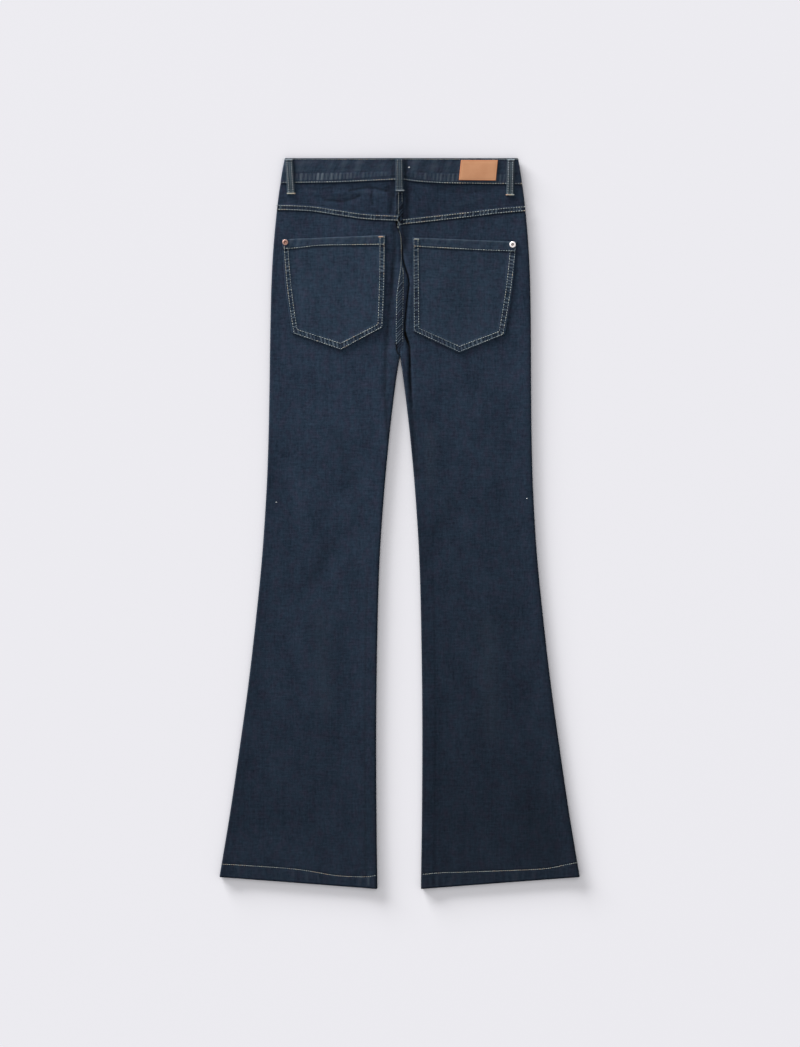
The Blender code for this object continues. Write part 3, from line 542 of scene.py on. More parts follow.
def build_denim_group():
    """Indigo denim: warp, weft, slubs, cloudy dye, fading and painted shading, a fine twill, and darker
    colour towards the bottom and the right.
    """
    tree = bpy.data.node_groups.new("denim_weave", "ShaderNodeTree")
    for name, kind, default in (("Place", "NodeSocketVector", None), ("Wear_and_shading", "NodeSocketFloat", 0.0),
                                ("Indigo", "NodeSocketColor", (0.02, 0.03, 0.05, 1)),
                                ("Faded", "NodeSocketColor", (0.1, 0.14, 0.2, 1)),
                                ("Contrast", "NodeSocketFloat", 1.0)):
        socket = tree.interface.new_socket(name, in_out="INPUT", socket_type=kind)
        if default is not None:
            socket.default_value = default
    for name, kind in (("Color", "NodeSocketColor"), ("Roughness", "NodeSocketFloat"),
                       ("Height", "NodeSocketFloat")):
        tree.interface.new_socket(name, in_out="OUTPUT", socket_type=kind)
    given, result = tree.nodes.new("NodeGroupInput"), tree.nodes.new("NodeGroupOutput")
    place, contrast = given.outputs["Place"], given.outputs["Contrast"]
    warp = stretched_noise(tree, place, (1.0, 0.16), 430.0, 3.0)
    weft = stretched_noise(tree, place, (0.2, 1.0), 470.0, 3.0)
    streak = stretched_noise(tree, place, (1.0, 0.07), 170.0, 2.0)
    blotch = stretched_noise(tree, place, (1.0, 0.8), 290.0, 2.0)
    cloud = stretched_noise(tree, place, (1.0, 0.6), 28.0, 4.0)
    slub = stretched_noise(tree, place, (0.15, 1.0), 260.0, 2.0)
    fine = stretched_noise(tree, place, (1.0, 1.0), 1700.0, 1.0)
    shade = None
    for noise, weight in ((warp, 0.55), (weft, 0.6), (streak, 0.26), (slub, 0.34), (blotch, 0.55),
                          (cloud, 0.55), (fine, 0.45)):
        part = maths(tree, "MULTIPLY", maths(tree, "SUBTRACT", noise, 0.5), weight)
        shade = part if shade is None else maths(tree, "ADD", shade, part)
    place_on = node_in(tree, "ShaderNodeTexCoord")
    split = node_in(tree, "ShaderNodeSeparateXYZ")
    tree.links.new(place_on.outputs["Object"], split.inputs[0])
    down_share = maths(tree, "MULTIPLY", maths(tree, "SUBTRACT", 0.25, split.outputs["Y"]), 1.45, clamp=True)
    right_share = maths(tree, "ADD", maths(tree, "MULTIPLY", split.outputs["X"], 6.0), 0.5, clamp=True)
    calmer = maths(tree, "SUBTRACT", 1.0, maths(tree, "MULTIPLY", down_share, 0.12))
    shade = maths(tree, "MULTIPLY", shade, calmer)
    share = maths(tree, "ADD", maths(tree, "MULTIPLY", shade, contrast), 0.36, clamp=True)
    colour = blend_colours(tree, share, given.outputs["Indigo"], given.outputs["Faded"])
    tint = stretched_noise(tree, place, (1.0, 0.7), 95.0, 2.0)
    tint_share = maths(tree, "MULTIPLY", maths(tree, "SUBTRACT", tint, 0.42), 2.6, clamp=True)
    tinted = blend_colours(tree, tint_share, (0.85, 1.07, 1.05, 1), (1.15, 0.93, 0.97, 1))
    colour = blend_colours(tree, 1.0, colour, tinted, "MULTIPLY")
    # the value paints the cloth paler where positive, for wear and painted highlights, and darker where
    # negative, as painted shade
    wear_and_highlight = maths(tree, "MAXIMUM", given.outputs["Wear_and_shading"], 0.0)
    pale = blend_colours(tree, 1.0, given.outputs["Faded"], (1.9, 1.86, 1.42, 1), "MULTIPLY")
    colour = blend_colours(tree, wear_and_highlight, colour, pale)
    depth = maths(tree, "ADD", maths(tree, "MINIMUM", given.outputs["Wear_and_shading"], 0.0), 1.0, clamp=True)
    grey = node_in(tree, "ShaderNodeCombineXYZ")
    for socket in grey.inputs:
        tree.links.new(depth, socket)
    colour = blend_colours(tree, 1.0, colour, grey.outputs[0], "MULTIPLY")
    # the colour darkens towards the bottom and, less, towards the right
    darker_below = maths(tree, "MULTIPLY", down_share, 0.39)
    darker_below_and_right = maths(tree, "ADD", darker_below, maths(tree, "MULTIPLY", right_share, 0.13))
    colour = blend_colours(tree, darker_below_and_right, colour, (0.0, 0.0, 0.0, 1))
    tree.links.new(colour, result.inputs["Color"])
    roughness = maths(tree, "SUBTRACT", 0.98, maths(tree, "MULTIPLY", share, 0.14))
    tree.links.new(roughness, result.inputs["Roughness"])
    twill = node_in(tree, "ShaderNodeTexWave", {"Scale": 360.0, "Distortion": 0.8, "Detail": 1.0},
                    wave_type="BANDS", bands_direction="DIAGONAL")
    tree.links.new(place, twill.inputs["Vector"])
    lift = maths(tree, "ADD", maths(tree, "MULTIPLY", twill.outputs["Fac"], 0.45), warp)
    tree.links.new(maths(tree, "ADD", lift, weft), result.inputs["Height"])
    return tree


denim_weave = build_denim_group()


def new_material(name):
    material = bpy.data.materials.new(name)
    material.use_nodes = True
    return material, material.node_tree, material.node_tree.nodes["Principled BSDF"]


def raise_grain(tree, shader, height, strength, distance):
    """Lets a fine grain catch the light, through a bump on the shader's normal."""
    relief = node_in(tree, "ShaderNodeBump", {"Strength": strength, "Distance": distance})
    tree.links.new(height, relief.inputs["Height"])
    tree.links.new(relief.outputs[0], shader.inputs["Normal"])


def denim_material(name, indigo, faded, contrast=1.0):
    material, tree, shader = new_material(name)
    weave = node_in(tree, "ShaderNodeGroup", node_tree=denim_weave)
    weave.inputs["Indigo"].default_value = (*indigo, 1)
    weave.inputs["Faded"].default_value = (*faded, 1)
    weave.inputs["Contrast"].default_value = contrast
    cut = node_in(tree, "ShaderNodeUVMap", uv_map="cut")
    wear_and_shading = node_in(tree, "ShaderNodeAttribute", attribute_name="wear_and_shading")
    tree.links.new(cut.outputs[0], weave.inputs["Place"])
    tree.links.new(wear_and_shading.outputs["Fac"], weave.inputs["Wear_and_shading"])
    raise_grain(tree, shader, weave.outputs["Height"], 0.28, 0.0004)
    tree.links.new(weave.outputs["Color"], shader.inputs["Base Color"])
    tree.links.new(weave.outputs["Roughness"], shader.inputs["Roughness"])
    shader.inputs["Specular IOR Level"].default_value = 0.12
    return material


panel_denim = denim_material("panel_denim", (0.0078, 0.0133, 0.0261), (0.0426, 0.0574, 0.0964))


def sew_in(piece, node, material):
    """Gives a cloth piece its denim and says what it is in the frame."""
    piece.data.materials.append(material)
    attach(piece, "root")
    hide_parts(node)


def panel_rows(top, fine_top, crotch_zone, leg_spacing, hem_zone):
    """Rows of a panel as (part, inset): fine at the top seam, the crotch and the hem."""
    downs = np.concatenate([spread(top + fine_top[0], crotch_zone[0], fine_top[1])[:-1],
                            spread(crotch_zone[0], CROTCH_DOWN, crotch_zone[2])[:-1],
                            spread(CROTCH_DOWN, crotch_zone[1], crotch_zone[2])[:-1],
                            spread(crotch_zone[1], LENGTH - hem_zone[0], leg_spacing)[:-1]])
    rows = [(0.0, inset) for inset in np.linspace(0, fine_top[0], 7)[:-1]]
    rows += [((down - top) / (LENGTH - top), 0.0) for down in downs]
    rows += [(1.0, -inset) for inset in spread(0.0, hem_zone[0], hem_zone[1])[::-1]]
    return rows


INNER_PLACES = np.concatenate([spread(12.0, 36.0, 1.5)[::-1], spread(3.3, 11.4, 0.65)[::-1]])
SIDES = {-1: "left", 1: "right"}
for side, word in SIDES.items():
    top = yoke_seam(side, CENTRE_BACK_SEAM)
    rows = panel_rows(top, (8.0, 3.4), (158.0, 334.0, 1.15), 6.2, (26.0, 1.5))
    zones = (24.0, 66, INNER_PLACES)
    lines = (lambda s, x: yoke_seam(s, x) + SEAM_GAP / 2, hem_line)
    across, down, turns = lay_panel(side, rows, zones, CENTRE_BACK_SEAM, lines)
    far, wear_and_shading = panel_face(side, across, down)
    to_hem = hem_line(side, across) - down
    wall = DENIM + (HEM_WALL - DENIM) * smooth_step((HEM_DEPTH - to_hem) / 1.5)
    outer, inner = fold_round(side, across, down, turns, 1, far, wall, round_end(to_hem, 1.1))
    piece = cloth_wall("back_panel_cloth_" + word, outer, inner, wear_and_shading)
    sew_in(piece, "back_panel_" + word, panel_denim)

# Front leg panels
# The fronts lie face down on the floor under the backs and carry their weight. They are the same
# denim, joined at the centre front below the fly, and their sides turn up to meet the backs.
CENTRE_FRONT_SEAM = 0.6


def front_band_seam(across):
    left, right = BAND_SEAM[0], BAND_SEAM[-1]
    return left[1] + (right[1] - left[1]) * (across - left[0]) / (right[0] - left[0])


for side, word in SIDES.items():
    rows = panel_rows(BAND_DEPTH, (8.0, 9.0), (262.0, 325.0, 4.0), 12.0, (24.0, 2.4))
    zones = (20.0, 14, np.array([24.0, 16.0, 10.0, 6.0]))
    lines = (lambda s, x: front_band_seam(x) + SEAM_GAP / 2, hem_line)
    across, down, turns = lay_panel(side, rows, zones, CENTRE_FRONT_SEAM, lines)
    far = underside(down)
    to_hem = hem_line(side, across) - down
    wall = DENIM + (HEM_WALL - DENIM) * smooth_step((HEM_DEPTH - to_hem) / 1.5)
    outer, inner = fold_round(side, across, down, turns, -1, far, wall, round_end(to_hem, 1.1))
    edge_out = np.abs(across - outer_edge(side, down))
    edge_in = np.abs(across - inner_edge(side, down, CENTRE_FRONT_SEAM))
    # painted shade along both sides, where the cloth turns up
    wear_and_shading = -0.3 * soft_bump(edge_out, 4.0) - 0.3 * soft_bump(edge_in, 4.0)
    piece = cloth_wall("front_panel_cloth_" + word, outer, inner, wear_and_shading)
    sew_in(piece, "front_panel_" + word, panel_denim)

# Yoke
# Two yoke pieces shape the seat. Their lower edges are felled over the back panels, which makes a
# thick roped band between two rows of topstitching, and their tops go up into the waistband.
YOKE_ROWS_APART = 5.8
YOKE_ROW_OVER_SEAM = 1.7


def yoke_face(side, across, down):
    height, wear_and_shading = back_relief(across, down)
    over_seam = yoke_seam(side, across) - down
    upper_row = YOKE_ROW_OVER_SEAM + YOKE_ROWS_APART
    lap = band_between(over_seam, -3.0, upper_row + 1.0, 1.2)
    between = band_between(over_seam, YOKE_ROW_OVER_SEAM + 0.6, upper_row - 0.6, 0.8)
    strokes = rope_strokes(across, 0.5 * down, 5.4, 41 + side)
    height = height + lap * 0.5 + between * (0.35 * strokes - 0.1)
    # wear and painted highlight on the roped strokes between the rows, painted shade beneath them
    wear_and_shading = wear_and_shading + between * (2.1 * strokes - 0.50)
    # painted shade under each row
    for row in (YOKE_ROW_OVER_SEAM, upper_row):
        wear_and_shading = wear_and_shading - 0.28 * soft_bump(over_seam - row, 1.0)
    above_rows = over_seam - YOKE_ROW_OVER_SEAM - YOKE_ROWS_APART
    # wear and painted highlight in strokes just above the rows, then a painted shadow line where the
    # allowance's edge ends
    wear_and_shading = wear_and_shading + 0.12 * strokes * soft_bump(above_rows - 2.0, 1.6) * (above_rows > 0)
    wear_and_shading = wear_and_shading - 0.16 * soft_bump(above_rows - 3.9, 1.3)
    below_band = down - band_seam(across)
    height = height - 0.3 * soft_bump(below_band, 1.5)
    # painted shade in the ditch under the band
    wear_and_shading = wear_and_shading - 0.16 * soft_bump(below_band, 1.8)
    pull = roping(across, down, 9.0, 51 + side)
    height = height + 0.12 * pull * soft_bump(below_band, 6.0)
    return height, wear_and_shading


yoke_denim = denim_material("yoke_denim", (0.0074, 0.0123, 0.0245), (0.0377, 0.0518, 0.0885))
for side, word in SIDES.items():
    parts = np.concatenate([np.linspace(0, 0.72, 30), np.linspace(0.72, 1.0, 19)[1:]])
    rows = [(part, 0.0) for part in parts]
    zones = (20.0, 128, INNER_PLACES)
    lines = (lambda s, x: band_seam(x) + SEAM_GAP / 2, lambda s, x: yoke_seam(s, x) - SEAM_GAP / 2)
    across, down, turns = lay_panel(side, rows, zones, CENTRE_BACK_SEAM, lines)
    far, wear_and_shading = yoke_face(side, across, down)
    over_seam = yoke_seam(side, across) - down
    wall = DENIM + 0.6 * band_between(over_seam, -3, 8.0, 1.5)
    outer, inner = fold_round(side, across, down, turns, 1, far, wall, round_end(over_seam, 0.9))
    piece = cloth_wall("yoke_cloth_" + word, outer, inner, wear_and_shading)
    sew_in(piece, "yoke_" + word, yoke_denim)

# Waistband
# A straight strip of denim, folded along the waist's top edge and sewn over the yoke and fronts.
# Its ends lap at the centre front, outer end under the inner end, where the button holds them.
BAND_WALL = 1.8
BAND_RISE = 0.6
OUTER_LAP_END = 12.0
INNER_LAP_END = -25.0
ALLOWANCE_RIDGE_DOWN = 22.5
BAND_ROW_OVER_SEAM = 1.8


def band_face(across, down):
    """The waistband's face on the back: a soft ridge where the allowance inside ends, then puckers; its
    colour carries painted shade and highlights.
    """
    plain = read_curve(PLAIN_TOP, down) + lap_hump(across, down) + BAND_RISE
    below = smooth_step((down - ALLOWANCE_RIDGE_DOWN) / 1.8)
    bars = rope_strokes(across, 0.2 * down, 6.1, 61)
    thin_bars = rope_strokes(across, -0.3 * down, 3.9, 62)
    to_seam = band_seam(across) - down
    fading = 0.35 + 0.65 * soft_bump(across + 122.0, 36.0) + 0.2 * soft_bump(across - 62.0, 30.0)
    crisp = fading * (1.1 * bars + 0.4 * thin_bars) * smooth_step((174.0 - np.abs(across)) / 14.0)
    height = plain + 0.2 * below + 0.2 * below * (bars + 0.6 * thin_bars)
    height = height + 0.06 * (1 - below) * roping(across, 0.5 * down, 17, 63)
    height = height - 0.18 * soft_bump(to_seam - BAND_ROW_OVER_SEAM, 1.0)
    # wear and painted highlight on the puckers' crests, painted shade between them
    wear_and_shading = 0.01 + below * (crisp - 0.10) * smooth_step((to_seam - 2.0) / 2.0)
    ridge = 0.75 + 0.25 * roping(across, 0, 31, 65)
    # a painted shadow line under the allowance's ridge
    wear_and_shading = wear_and_shading - 0.36 * soft_bump(down - ALLOWANCE_RIDGE_DOWN, 1.2) * ridge
    above = 0.16 * roping(across, 0.6 * down, 27, 64) + 0.08 * roping(down, 0.3 * across, 13, 66)
    wear_and_shading = wear_and_shading + (1 - below) * above
    # painted shade along the row, the seam and the top edge, and painted shadows beside the belt loops
    wear_and_shading = wear_and_shading - 0.3 * soft_bump(to_seam - BAND_ROW_OVER_SEAM, 1.2) - 0.16 * soft_bump(to_seam, 1.3)
    wear_and_shading = wear_and_shading - 0.3 * soft_bump(down, 1.2)
    wear_and_shading = wear_and_shading - 0.45 * soft_bump(across - 9.5, 3.4) - 0.3 * soft_bump(across + 10.0, 3.4)
    for loop_across in (-158.0, 174.8):
        wear_and_shading = wear_and_shading - 0.28 * soft_bump(across - loop_across, 2.2)
    return height, wear_and_shading


def band_strip(level_part):
    """Stations round the waistband at one level: place, height, normal, and its fading and painted shading.
    """
    level = level_part * BAND_DEPTH
    low = float(underside(level))
    front_left = spread(-OUTER_LAP_END, 168.0, 8.0) * -1
    across, height, lean, rise, wear_and_shading = [front_left], [np.full(front_left.shape, low)], [], [], []
    lean.append(np.zeros(front_left.shape))
    rise.append(np.full(front_left.shape, -1.0))
    wear_and_shading.append(np.zeros(front_left.shape))
    angles = np.linspace(-QUARTER, QUARTER, 13)
    for side in (-1, 1):
        edge = float(outer_edge(side, level))
        top, edge_wear_and_shading = band_face(np.array([edge]), np.array([level]))
        seat = (low + top[0]) / 2
        turn = angles if side < 0 else angles[::-1]
        fold = edge - side * EDGE_ROUND * (1 - np.cos(turn))
        across.append(fold)
        height.append(seat + (top[0] - seat) * np.sin(turn))
        lean.append(side * np.cos(turn))
        rise.append(np.sin(turn))
        wear_and_shading.append(np.full(turn.shape, edge_wear_and_shading[0]))
        if side < 0:
            back = spread(-168.0, 168.0, 1.3)
            back_height, back_wear_and_shading = band_face(back, np.full(back.shape, level))
            across.append(back)
            height.append(back_height)
            lean.append(np.zeros(back.shape))
            rise.append(np.ones(back.shape))
            wear_and_shading.append(back_wear_and_shading)
    front_right = np.concatenate([spread(40.0, 168.0, 8.0)[::-1], spread(INNER_LAP_END, 37.0, 2.5)[::-1]])
    lift = (BAND_WALL + SEAM_GAP) * smooth_step((36.0 - front_right) / 21.0)
    across.append(front_right)
    height.append(low + lift)
    lean.append(np.zeros(front_right.shape))
    rise.append(np.full(front_right.shape, -1.0))
    wear_and_shading.append(np.zeros(front_right.shape))
    return [np.concatenate(values) for values in (across, height, lean, rise, wear_and_shading)]


band_parts = np.concatenate([[0, 0.004, 0.012, 0.025, 0.045], np.linspace(0.07, 0.97, 26),
                             [0.985, 0.994, 1.0]])
strips = [band_strip(part) for part in band_parts]
across, height, lean, rise, wear_and_shading = [np.stack([strip[k] for strip in strips], 1) for k in range(5)]
ends = np.where(rise > 0, band_seam(across), front_band_seam(across)) - SEAM_GAP / 2
down = band_parts[None, :] * ends
left_over = np.minimum(round_end(down, 1.2), round_end(ends - down, 0.7))
dip = BAND_WALL * (1 - left_over) / 2
outer = np.stack([across - dip * lean, down, height - dip * rise], -1)
thick = BAND_WALL * left_over
inner = outer - np.stack([thick * lean, np.zeros_like(down), thick * rise], -1)
steps = np.hypot(np.diff(across, axis=0), np.diff(height, axis=0))
along = np.concatenate([np.zeros((1, steps.shape[1])), np.cumsum(steps, 0)])
band_denim = denim_material("band_denim", (0.0086, 0.0140, 0.0261), (0.0492, 0.0630, 0.1011), contrast=0.8)
waistband = cloth_wall("waistband_cloth", outer, inner, wear_and_shading, grain=np.stack([down, along], -1))
sew_in(waistband, "waistband", band_denim)

# Back pockets
# Patch pockets with a turned-down top hem and a pointed foot. Their edges are folded under, so
# that they are thicker between the two rows of stitches that hold them to the panels.
POCKET_POINT_PART = 0.54
POCKET_WIDTH = 148.0
POCKET_LENGTH = 155.0
FOOT_SLOPE = 0.93
# how far the two rows lie inside the outer side at its top and foot, the inner side and the foot
POCKET_ROWS = {"left": ((2.9, 3.9, 2.5, 1.9), (8.4, 9.4, 8.6, 8.9)),
               "right": ((1.6, 4.6, 2.1, 2.2), (8.7, 11.8, 8.1, 8.8))}


def pocket_places(pocket, column, row):
    """Where places of the pocket's cut lie on the back."""
    column, row = np.broadcast_arrays(np.asarray(column, float), np.asarray(row, float))
    corner = {name: np.array(pocket[name]) for name in
              ("outer_top", "inner_top", "inner_bottom", "point", "outer_bottom")}
    top = corner["outer_top"] + (corner["inner_top"] - corner["outer_top"]) * column[..., None]
    first = np.clip(column / POCKET_POINT_PART, 0, 1)[..., None]
    second = np.clip((column - POCKET_POINT_PART) / (1 - POCKET_POINT_PART), 0, 1)[..., None]
    bottom = corner["outer_bottom"] + (corner["point"] - corner["outer_bottom"]) * first
    bottom = bottom + (corner["inner_bottom"] - corner["point"]) * second
    place = top + (bottom - top) * row[..., None]
    bow = pocket["outer_bow"] * (1 - column) + pocket["inner_bow"] * column
    return place[..., 0] + bow * np.sin(math.pi * row), place[..., 1]


def pocket_edges(pocket, column, row):
    """Distances of a place from the pocket's outer side, its inner side, its foot and its top."""
    across, down = pocket_places(pocket, column, row)
    outer_x, _ = pocket_places(pocket, np.zeros_like(column), row)
    inner_x, _ = pocket_places(pocket, np.ones_like(column), row)
    _, top_down = pocket_places(pocket, column, np.zeros_like(row))
    _, foot_down = pocket_places(pocket, column, np.ones_like(row))
    to_foot = (foot_down - down) * FOOT_SLOPE
    return np.abs(across - outer_x), np.abs(inner_x - across), to_foot, down - top_down


def row_distance(edges, row, insets):
    """How far a place lies inside one of the pocket's two rows of stitches."""
    outer_inset = insets[0] + (insets[1] - insets[0]) * row
    return np.minimum(np.minimum(edges[0] - outer_inset, edges[1] - insets[2]), edges[2] - insets[3])


def pocket_face(pocket, column, row):
    across, down = pocket_places(pocket, column, row)
    height, wear_and_shading = back_relief(across, down)
    *edges, below_top = pocket_edges(pocket, column, row)
    sewn = np.minimum(np.minimum(edges[0], edges[1]), edges[2])
    first, second = [row_distance(edges, row, insets) for insets in POCKET_ROWS[SIDES[pocket["side"]]]]
    hem = read_curve(pocket["hem"], column)
    below_hem = smooth_step((below_top - hem) / 2)
    folded = band_between(second, -20, 1.2, 1.6)
    between = band_between(first, 0.6, 20, 0.9) * band_between(second, -20, -0.6, 0.9) * below_hem
    on_side = np.minimum(edges[0], edges[1]) < edges[2]
    strokes = rope_strokes(np.where(on_side, down, across), 0.4 * sewn, 5.4, 71 + pocket["side"])
    in_hem = smooth_step((hem + 1.4 - below_top) / 1.6)
    pull = roping(across, 0.9 * below_top, 14.0, 81 + pocket["side"]) * roping(across, 0.0, 37.0, 85)
    height = height + SEAM_GAP + DENIM + 0.40 * folded + between * (0.35 * strokes - 0.1)
    height = height + in_hem * (0.35 + 0.12 * pull) - 0.25 * soft_bump(below_top - hem - 2.2, 2.0)
    # wear and painted highlight on the roped strokes and the hem's ripples, painted shade between the strokes
    wear_and_shading = wear_and_shading + between * (1.55 * strokes - 0.46) + in_hem * (0.2 * pull + 0.04) + 0.01
    wear_and_shading = wear_and_shading + 0.22 * (strokes - 0.35) * soft_bump(second - 2.2, 1.6) * (second > 0) * below_hem
    # painted shade under both rows
    for row_offset in (first, second):
        wear_and_shading = wear_and_shading - 0.24 * soft_bump(row_offset, 1.0) * below_hem
    # wear and painted highlight along the folded top edge
    wear_and_shading = wear_and_shading + 0.34 * soft_bump(below_top - 1.3, 1.2) * (0.65 + 0.35 * pull)
    # painted shade along the hem's row, a painted shadow below the hem and a painted dark outline at the sewn
    # sides
    wear_and_shading = wear_and_shading - 0.4 * soft_bump(below_top - hem, 1.0)
    wear_and_shading = wear_and_shading - 0.34 * soft_bump(below_top - hem - 2.4, 1.5) - 0.12 * soft_bump(sewn, 1.0)
    return height, wear_and_shading


pocket_denim = denim_material("pocket_denim", (0.0086, 0.0147, 0.0277), (0.0459, 0.0630, 0.1043))
for word, pocket in POCKETS.items():
    edge_places = [0, 0.25, 0.6, 1.1, 1.7, 2.4, 3.2, 4.1, 5.1, 6.1, 7.1, 8.1, 9.1, 10.1, 11.2, 12.6]
    near = np.array(edge_places) / POCKET_WIDTH
    columns = np.concatenate([near, np.linspace(near[-1], 1 - near[-1], 84)[1:-1], (1 - near)[::-1]])
    columns[np.argmin(np.abs(columns - POCKET_POINT_PART))] = POCKET_POINT_PART
    top_near = np.concatenate([edge_places, [13.6, 15.2, 17.2]]) / POCKET_LENGTH
    rows = np.concatenate([top_near, np.linspace(top_near[-1], 1 - near[-1], 94)[1:-1], (1 - near)[::-1]])
    column, row = np.meshgrid(columns, rows, indexing="ij")
    across, down = pocket_places(pocket, column, row)
    height, wear_and_shading = pocket_face(pocket, column, row)
    *sewn_edges, below_top = pocket_edges(pocket, column, row)
    sewn = np.min(sewn_edges, axis=0)
    thick = DENIM + 0.4
    share = np.minimum(round_end(sewn, 1.2), round_end(below_top, 1.0))
    outer = np.stack([across, down, height - thick * (1 - share) * 0.6], -1)
    inner = np.stack([across, down, back_relief(across, down)[0] + 0.12], -1)
    piece = cloth_wall("back_pocket_cloth_" + word, outer, inner, wear_and_shading)
    sew_in(piece, "back_pocket_" + word, pocket_denim)

# Belt loops
# Narrow strips of denim with their edges folded under and held by two rows. They are tacked at the
# waist's edge and just below the band; the two on the front lie under the garment.
LOOP_WIDTH = 11.4
LOOP_WALL = 1.3
BACK_LOOPS = {"belt_loop_centre_back": (-0.2, -0.2, 50.4), "belt_loop_back_left": (-165.9, -162.6, 54.6),
              "belt_loop_back_right": (166.8, 165.5, 56.7)}
FRONT_LOOPS = {"belt_loop_front_left": (-88.0, -89.0, 55.0), "belt_loop_front_right": (92.0, 93.0, 55.0)}
LOOP_ROW_OFFSET = 3.1
loop_denim = denim_material("loop_denim", (0.0145, 0.021, 0.0305), (0.086, 0.112, 0.152), contrast=1.2)


def loop_middle(loop, down):
    return loop[0] + (loop[1] - loop[0]) * down / loop[2]


def loop_grid(loop, columns, rows):
    """A grid over a loop: offsets from its middle line, and places down."""
    offsets = np.linspace(-0.5, 0.5, columns) * LOOP_WIDTH
    return np.meshgrid(offsets, np.linspace(0.2, loop[2], rows), indexing="ij")


def loop_seat(middle, down):
    """Height of the underside of a loop over the band and the yoke."""
    over_band = read_curve(PLAIN_TOP, down) + lap_hump(middle, down) + BAND_RISE
    slack = 0.7 * np.sin(math.pi * np.minimum(down / BAND_DEPTH, 1.0))
    on_yoke = back_relief(middle, down)[0]
    drop = smooth_step((down - BAND_DEPTH) / 6.0)
    return (over_band + slack) * (1 - drop) + on_yoke * drop + SEAM_GAP


def loop_face(loop, offset, down):
    """The outer face of a back loop at an offset from its middle line."""
    middle = loop_middle(loop, down)
    rounded = 0.45 * np.maximum(0.0, np.abs(offset) / (LOOP_WIDTH / 2) - 0.7) / 0.3
    ripple = roping(down, np.abs(offset) * 2, 4.6, 91)
    rib = 0.16 * soft_bump(np.abs(offset) - 4.4, 0.9) + 0.12 * soft_bump(offset, 1.4)
    return loop_seat(middle, down) + LOOP_WALL - rounded + rib + 0.06 * ripple, middle + offset, ripple


for name, loop in BACK_LOOPS.items():
    offset, down = loop_grid(loop, 15, 44)
    height, across, ripple = loop_face(loop, offset, down)
    end_fold = np.minimum(round_end(down - 0.2, 1.0), round_end(loop[2] - down, 1.0))
    low = loop_seat(loop_middle(loop, down), down)
    outer = np.stack([across, down, low + (height - low) * (0.35 + 0.65 * end_fold)], -1)
    inner = np.stack([across, down, low], -1)
    # painted highlights on the middle rib and the rounded edges, ripples painted lighter and darker, painted
    # shade under both rows and below the top tack, and a painted shadow over the centre back loop
    shadow = 0.08 if name == "belt_loop_centre_back" else 0.0
    wear_and_shading = 0.14 * ripple + 0.34 * soft_bump(offset - 0.5, 0.9) - shadow
    wear_and_shading = wear_and_shading + 0.26 * soft_bump(np.abs(offset) - 5.1, 0.6)
    wear_and_shading = wear_and_shading - 0.5 * soft_bump(np.abs(offset) - LOOP_ROW_OFFSET, 1.2)
    wear_and_shading = wear_and_shading - 0.4 * soft_bump(down - 5.2, 0.8)
    grain = np.stack([offset, down + 300.0], -1)
    piece = cloth_wall(name + "_cloth", outer, inner, wear_and_shading, grain=grain)
    sew_in(piece, name, loop_denim)

for name, loop in FRONT_LOOPS.items():
    offset, down = loop_grid(loop, 9, 24)
    across = loop_middle(loop, down) + offset
    rounded = 0.3 * np.maximum(0.0, np.abs(offset) / (LOOP_WIDTH / 2) - 0.7) / 0.3
    outer = np.stack([across, down, rounded], -1)
    inner = np.stack([across, down, np.full(down.shape, 1.2)], -1)
    wear_and_shading = 0.1 * roping(down, offset, 5.0, 92)
    piece = cloth_wall(name + "_cloth", outer, inner, wear_and_shading, grain=np.stack([offset, down], -1))
    sew_in(piece, name, loop_denim)

# Waist patch
# A smooth tan board of bonded leather, a little domed, with softly pressed edges. It is sewn on the
# right of the waistband with fine thread of its own colour, which is not drawn, and is bare.
PATCH_CORNERS = dict(top_left=(92.0, 3.2), top_right=(147.4, 3.2), bottom_left=(88.8, 33.2),
                     bottom_right=(144.4, 33.9))
PATCH_WALL = 1.2
PATCH_WIDTH = 55.4
PATCH_DEPTH = 30.3


def patch_places(column, row):
    corner = {name: np.array(place) for name, place in PATCH_CORNERS.items()}
    top = corner["top_left"] + (corner["top_right"] - corner["top_left"]) * column[..., None]
    bottom = corner["bottom_left"] + (corner["bottom_right"] - corner["bottom_left"]) * column[..., None]
    place = top + (bottom - top) * row[..., None]
    return place[..., 0], place[..., 1]


def patch_face(column, row):
    across, down = patch_places(column, row)
    low = read_curve(PLAIN_TOP, down) + lap_hump(across, down) + BAND_RISE + SEAM_GAP
    edge = np.minimum(np.minimum(column, 1 - column) * PATCH_WIDTH, np.minimum(row, 1 - row) * PATCH_DEPTH)
    pressed = 0.12 * soft_bump(edge - 2.0, 0.8)
    dome = 0.25 * np.sin(math.pi * column) * np.sin(math.pi * row)
    return low, low + PATCH_WALL + dome - pressed, edge


near = np.array([0, 0.3, 0.7, 1.2, 1.7, 2.3, 3.0, 4.0])


def patch_parts(size, count):
    """Parts of the patch's width or depth for a grid that is fine near both edges."""
    close = near / size
    return np.concatenate([close, np.linspace(close[-1], 1 - close[-1], count)[1:-1], (1 - close)[::-1]])


column, row = np.meshgrid(patch_parts(PATCH_WIDTH, 22), patch_parts(PATCH_DEPTH, 12), indexing="ij")
across, down = patch_places(column, row)
low, high, edge = patch_face(column, row)
outer = np.stack([across, down, low + (high - low) * (0.25 + 0.75 * round_end(edge, 0.9))], -1)
inner = np.stack([across, down, low], -1)
patch = cloth_wall("waist_patch_board", outer, inner, -0.9 * soft_bump(edge, 0.8))


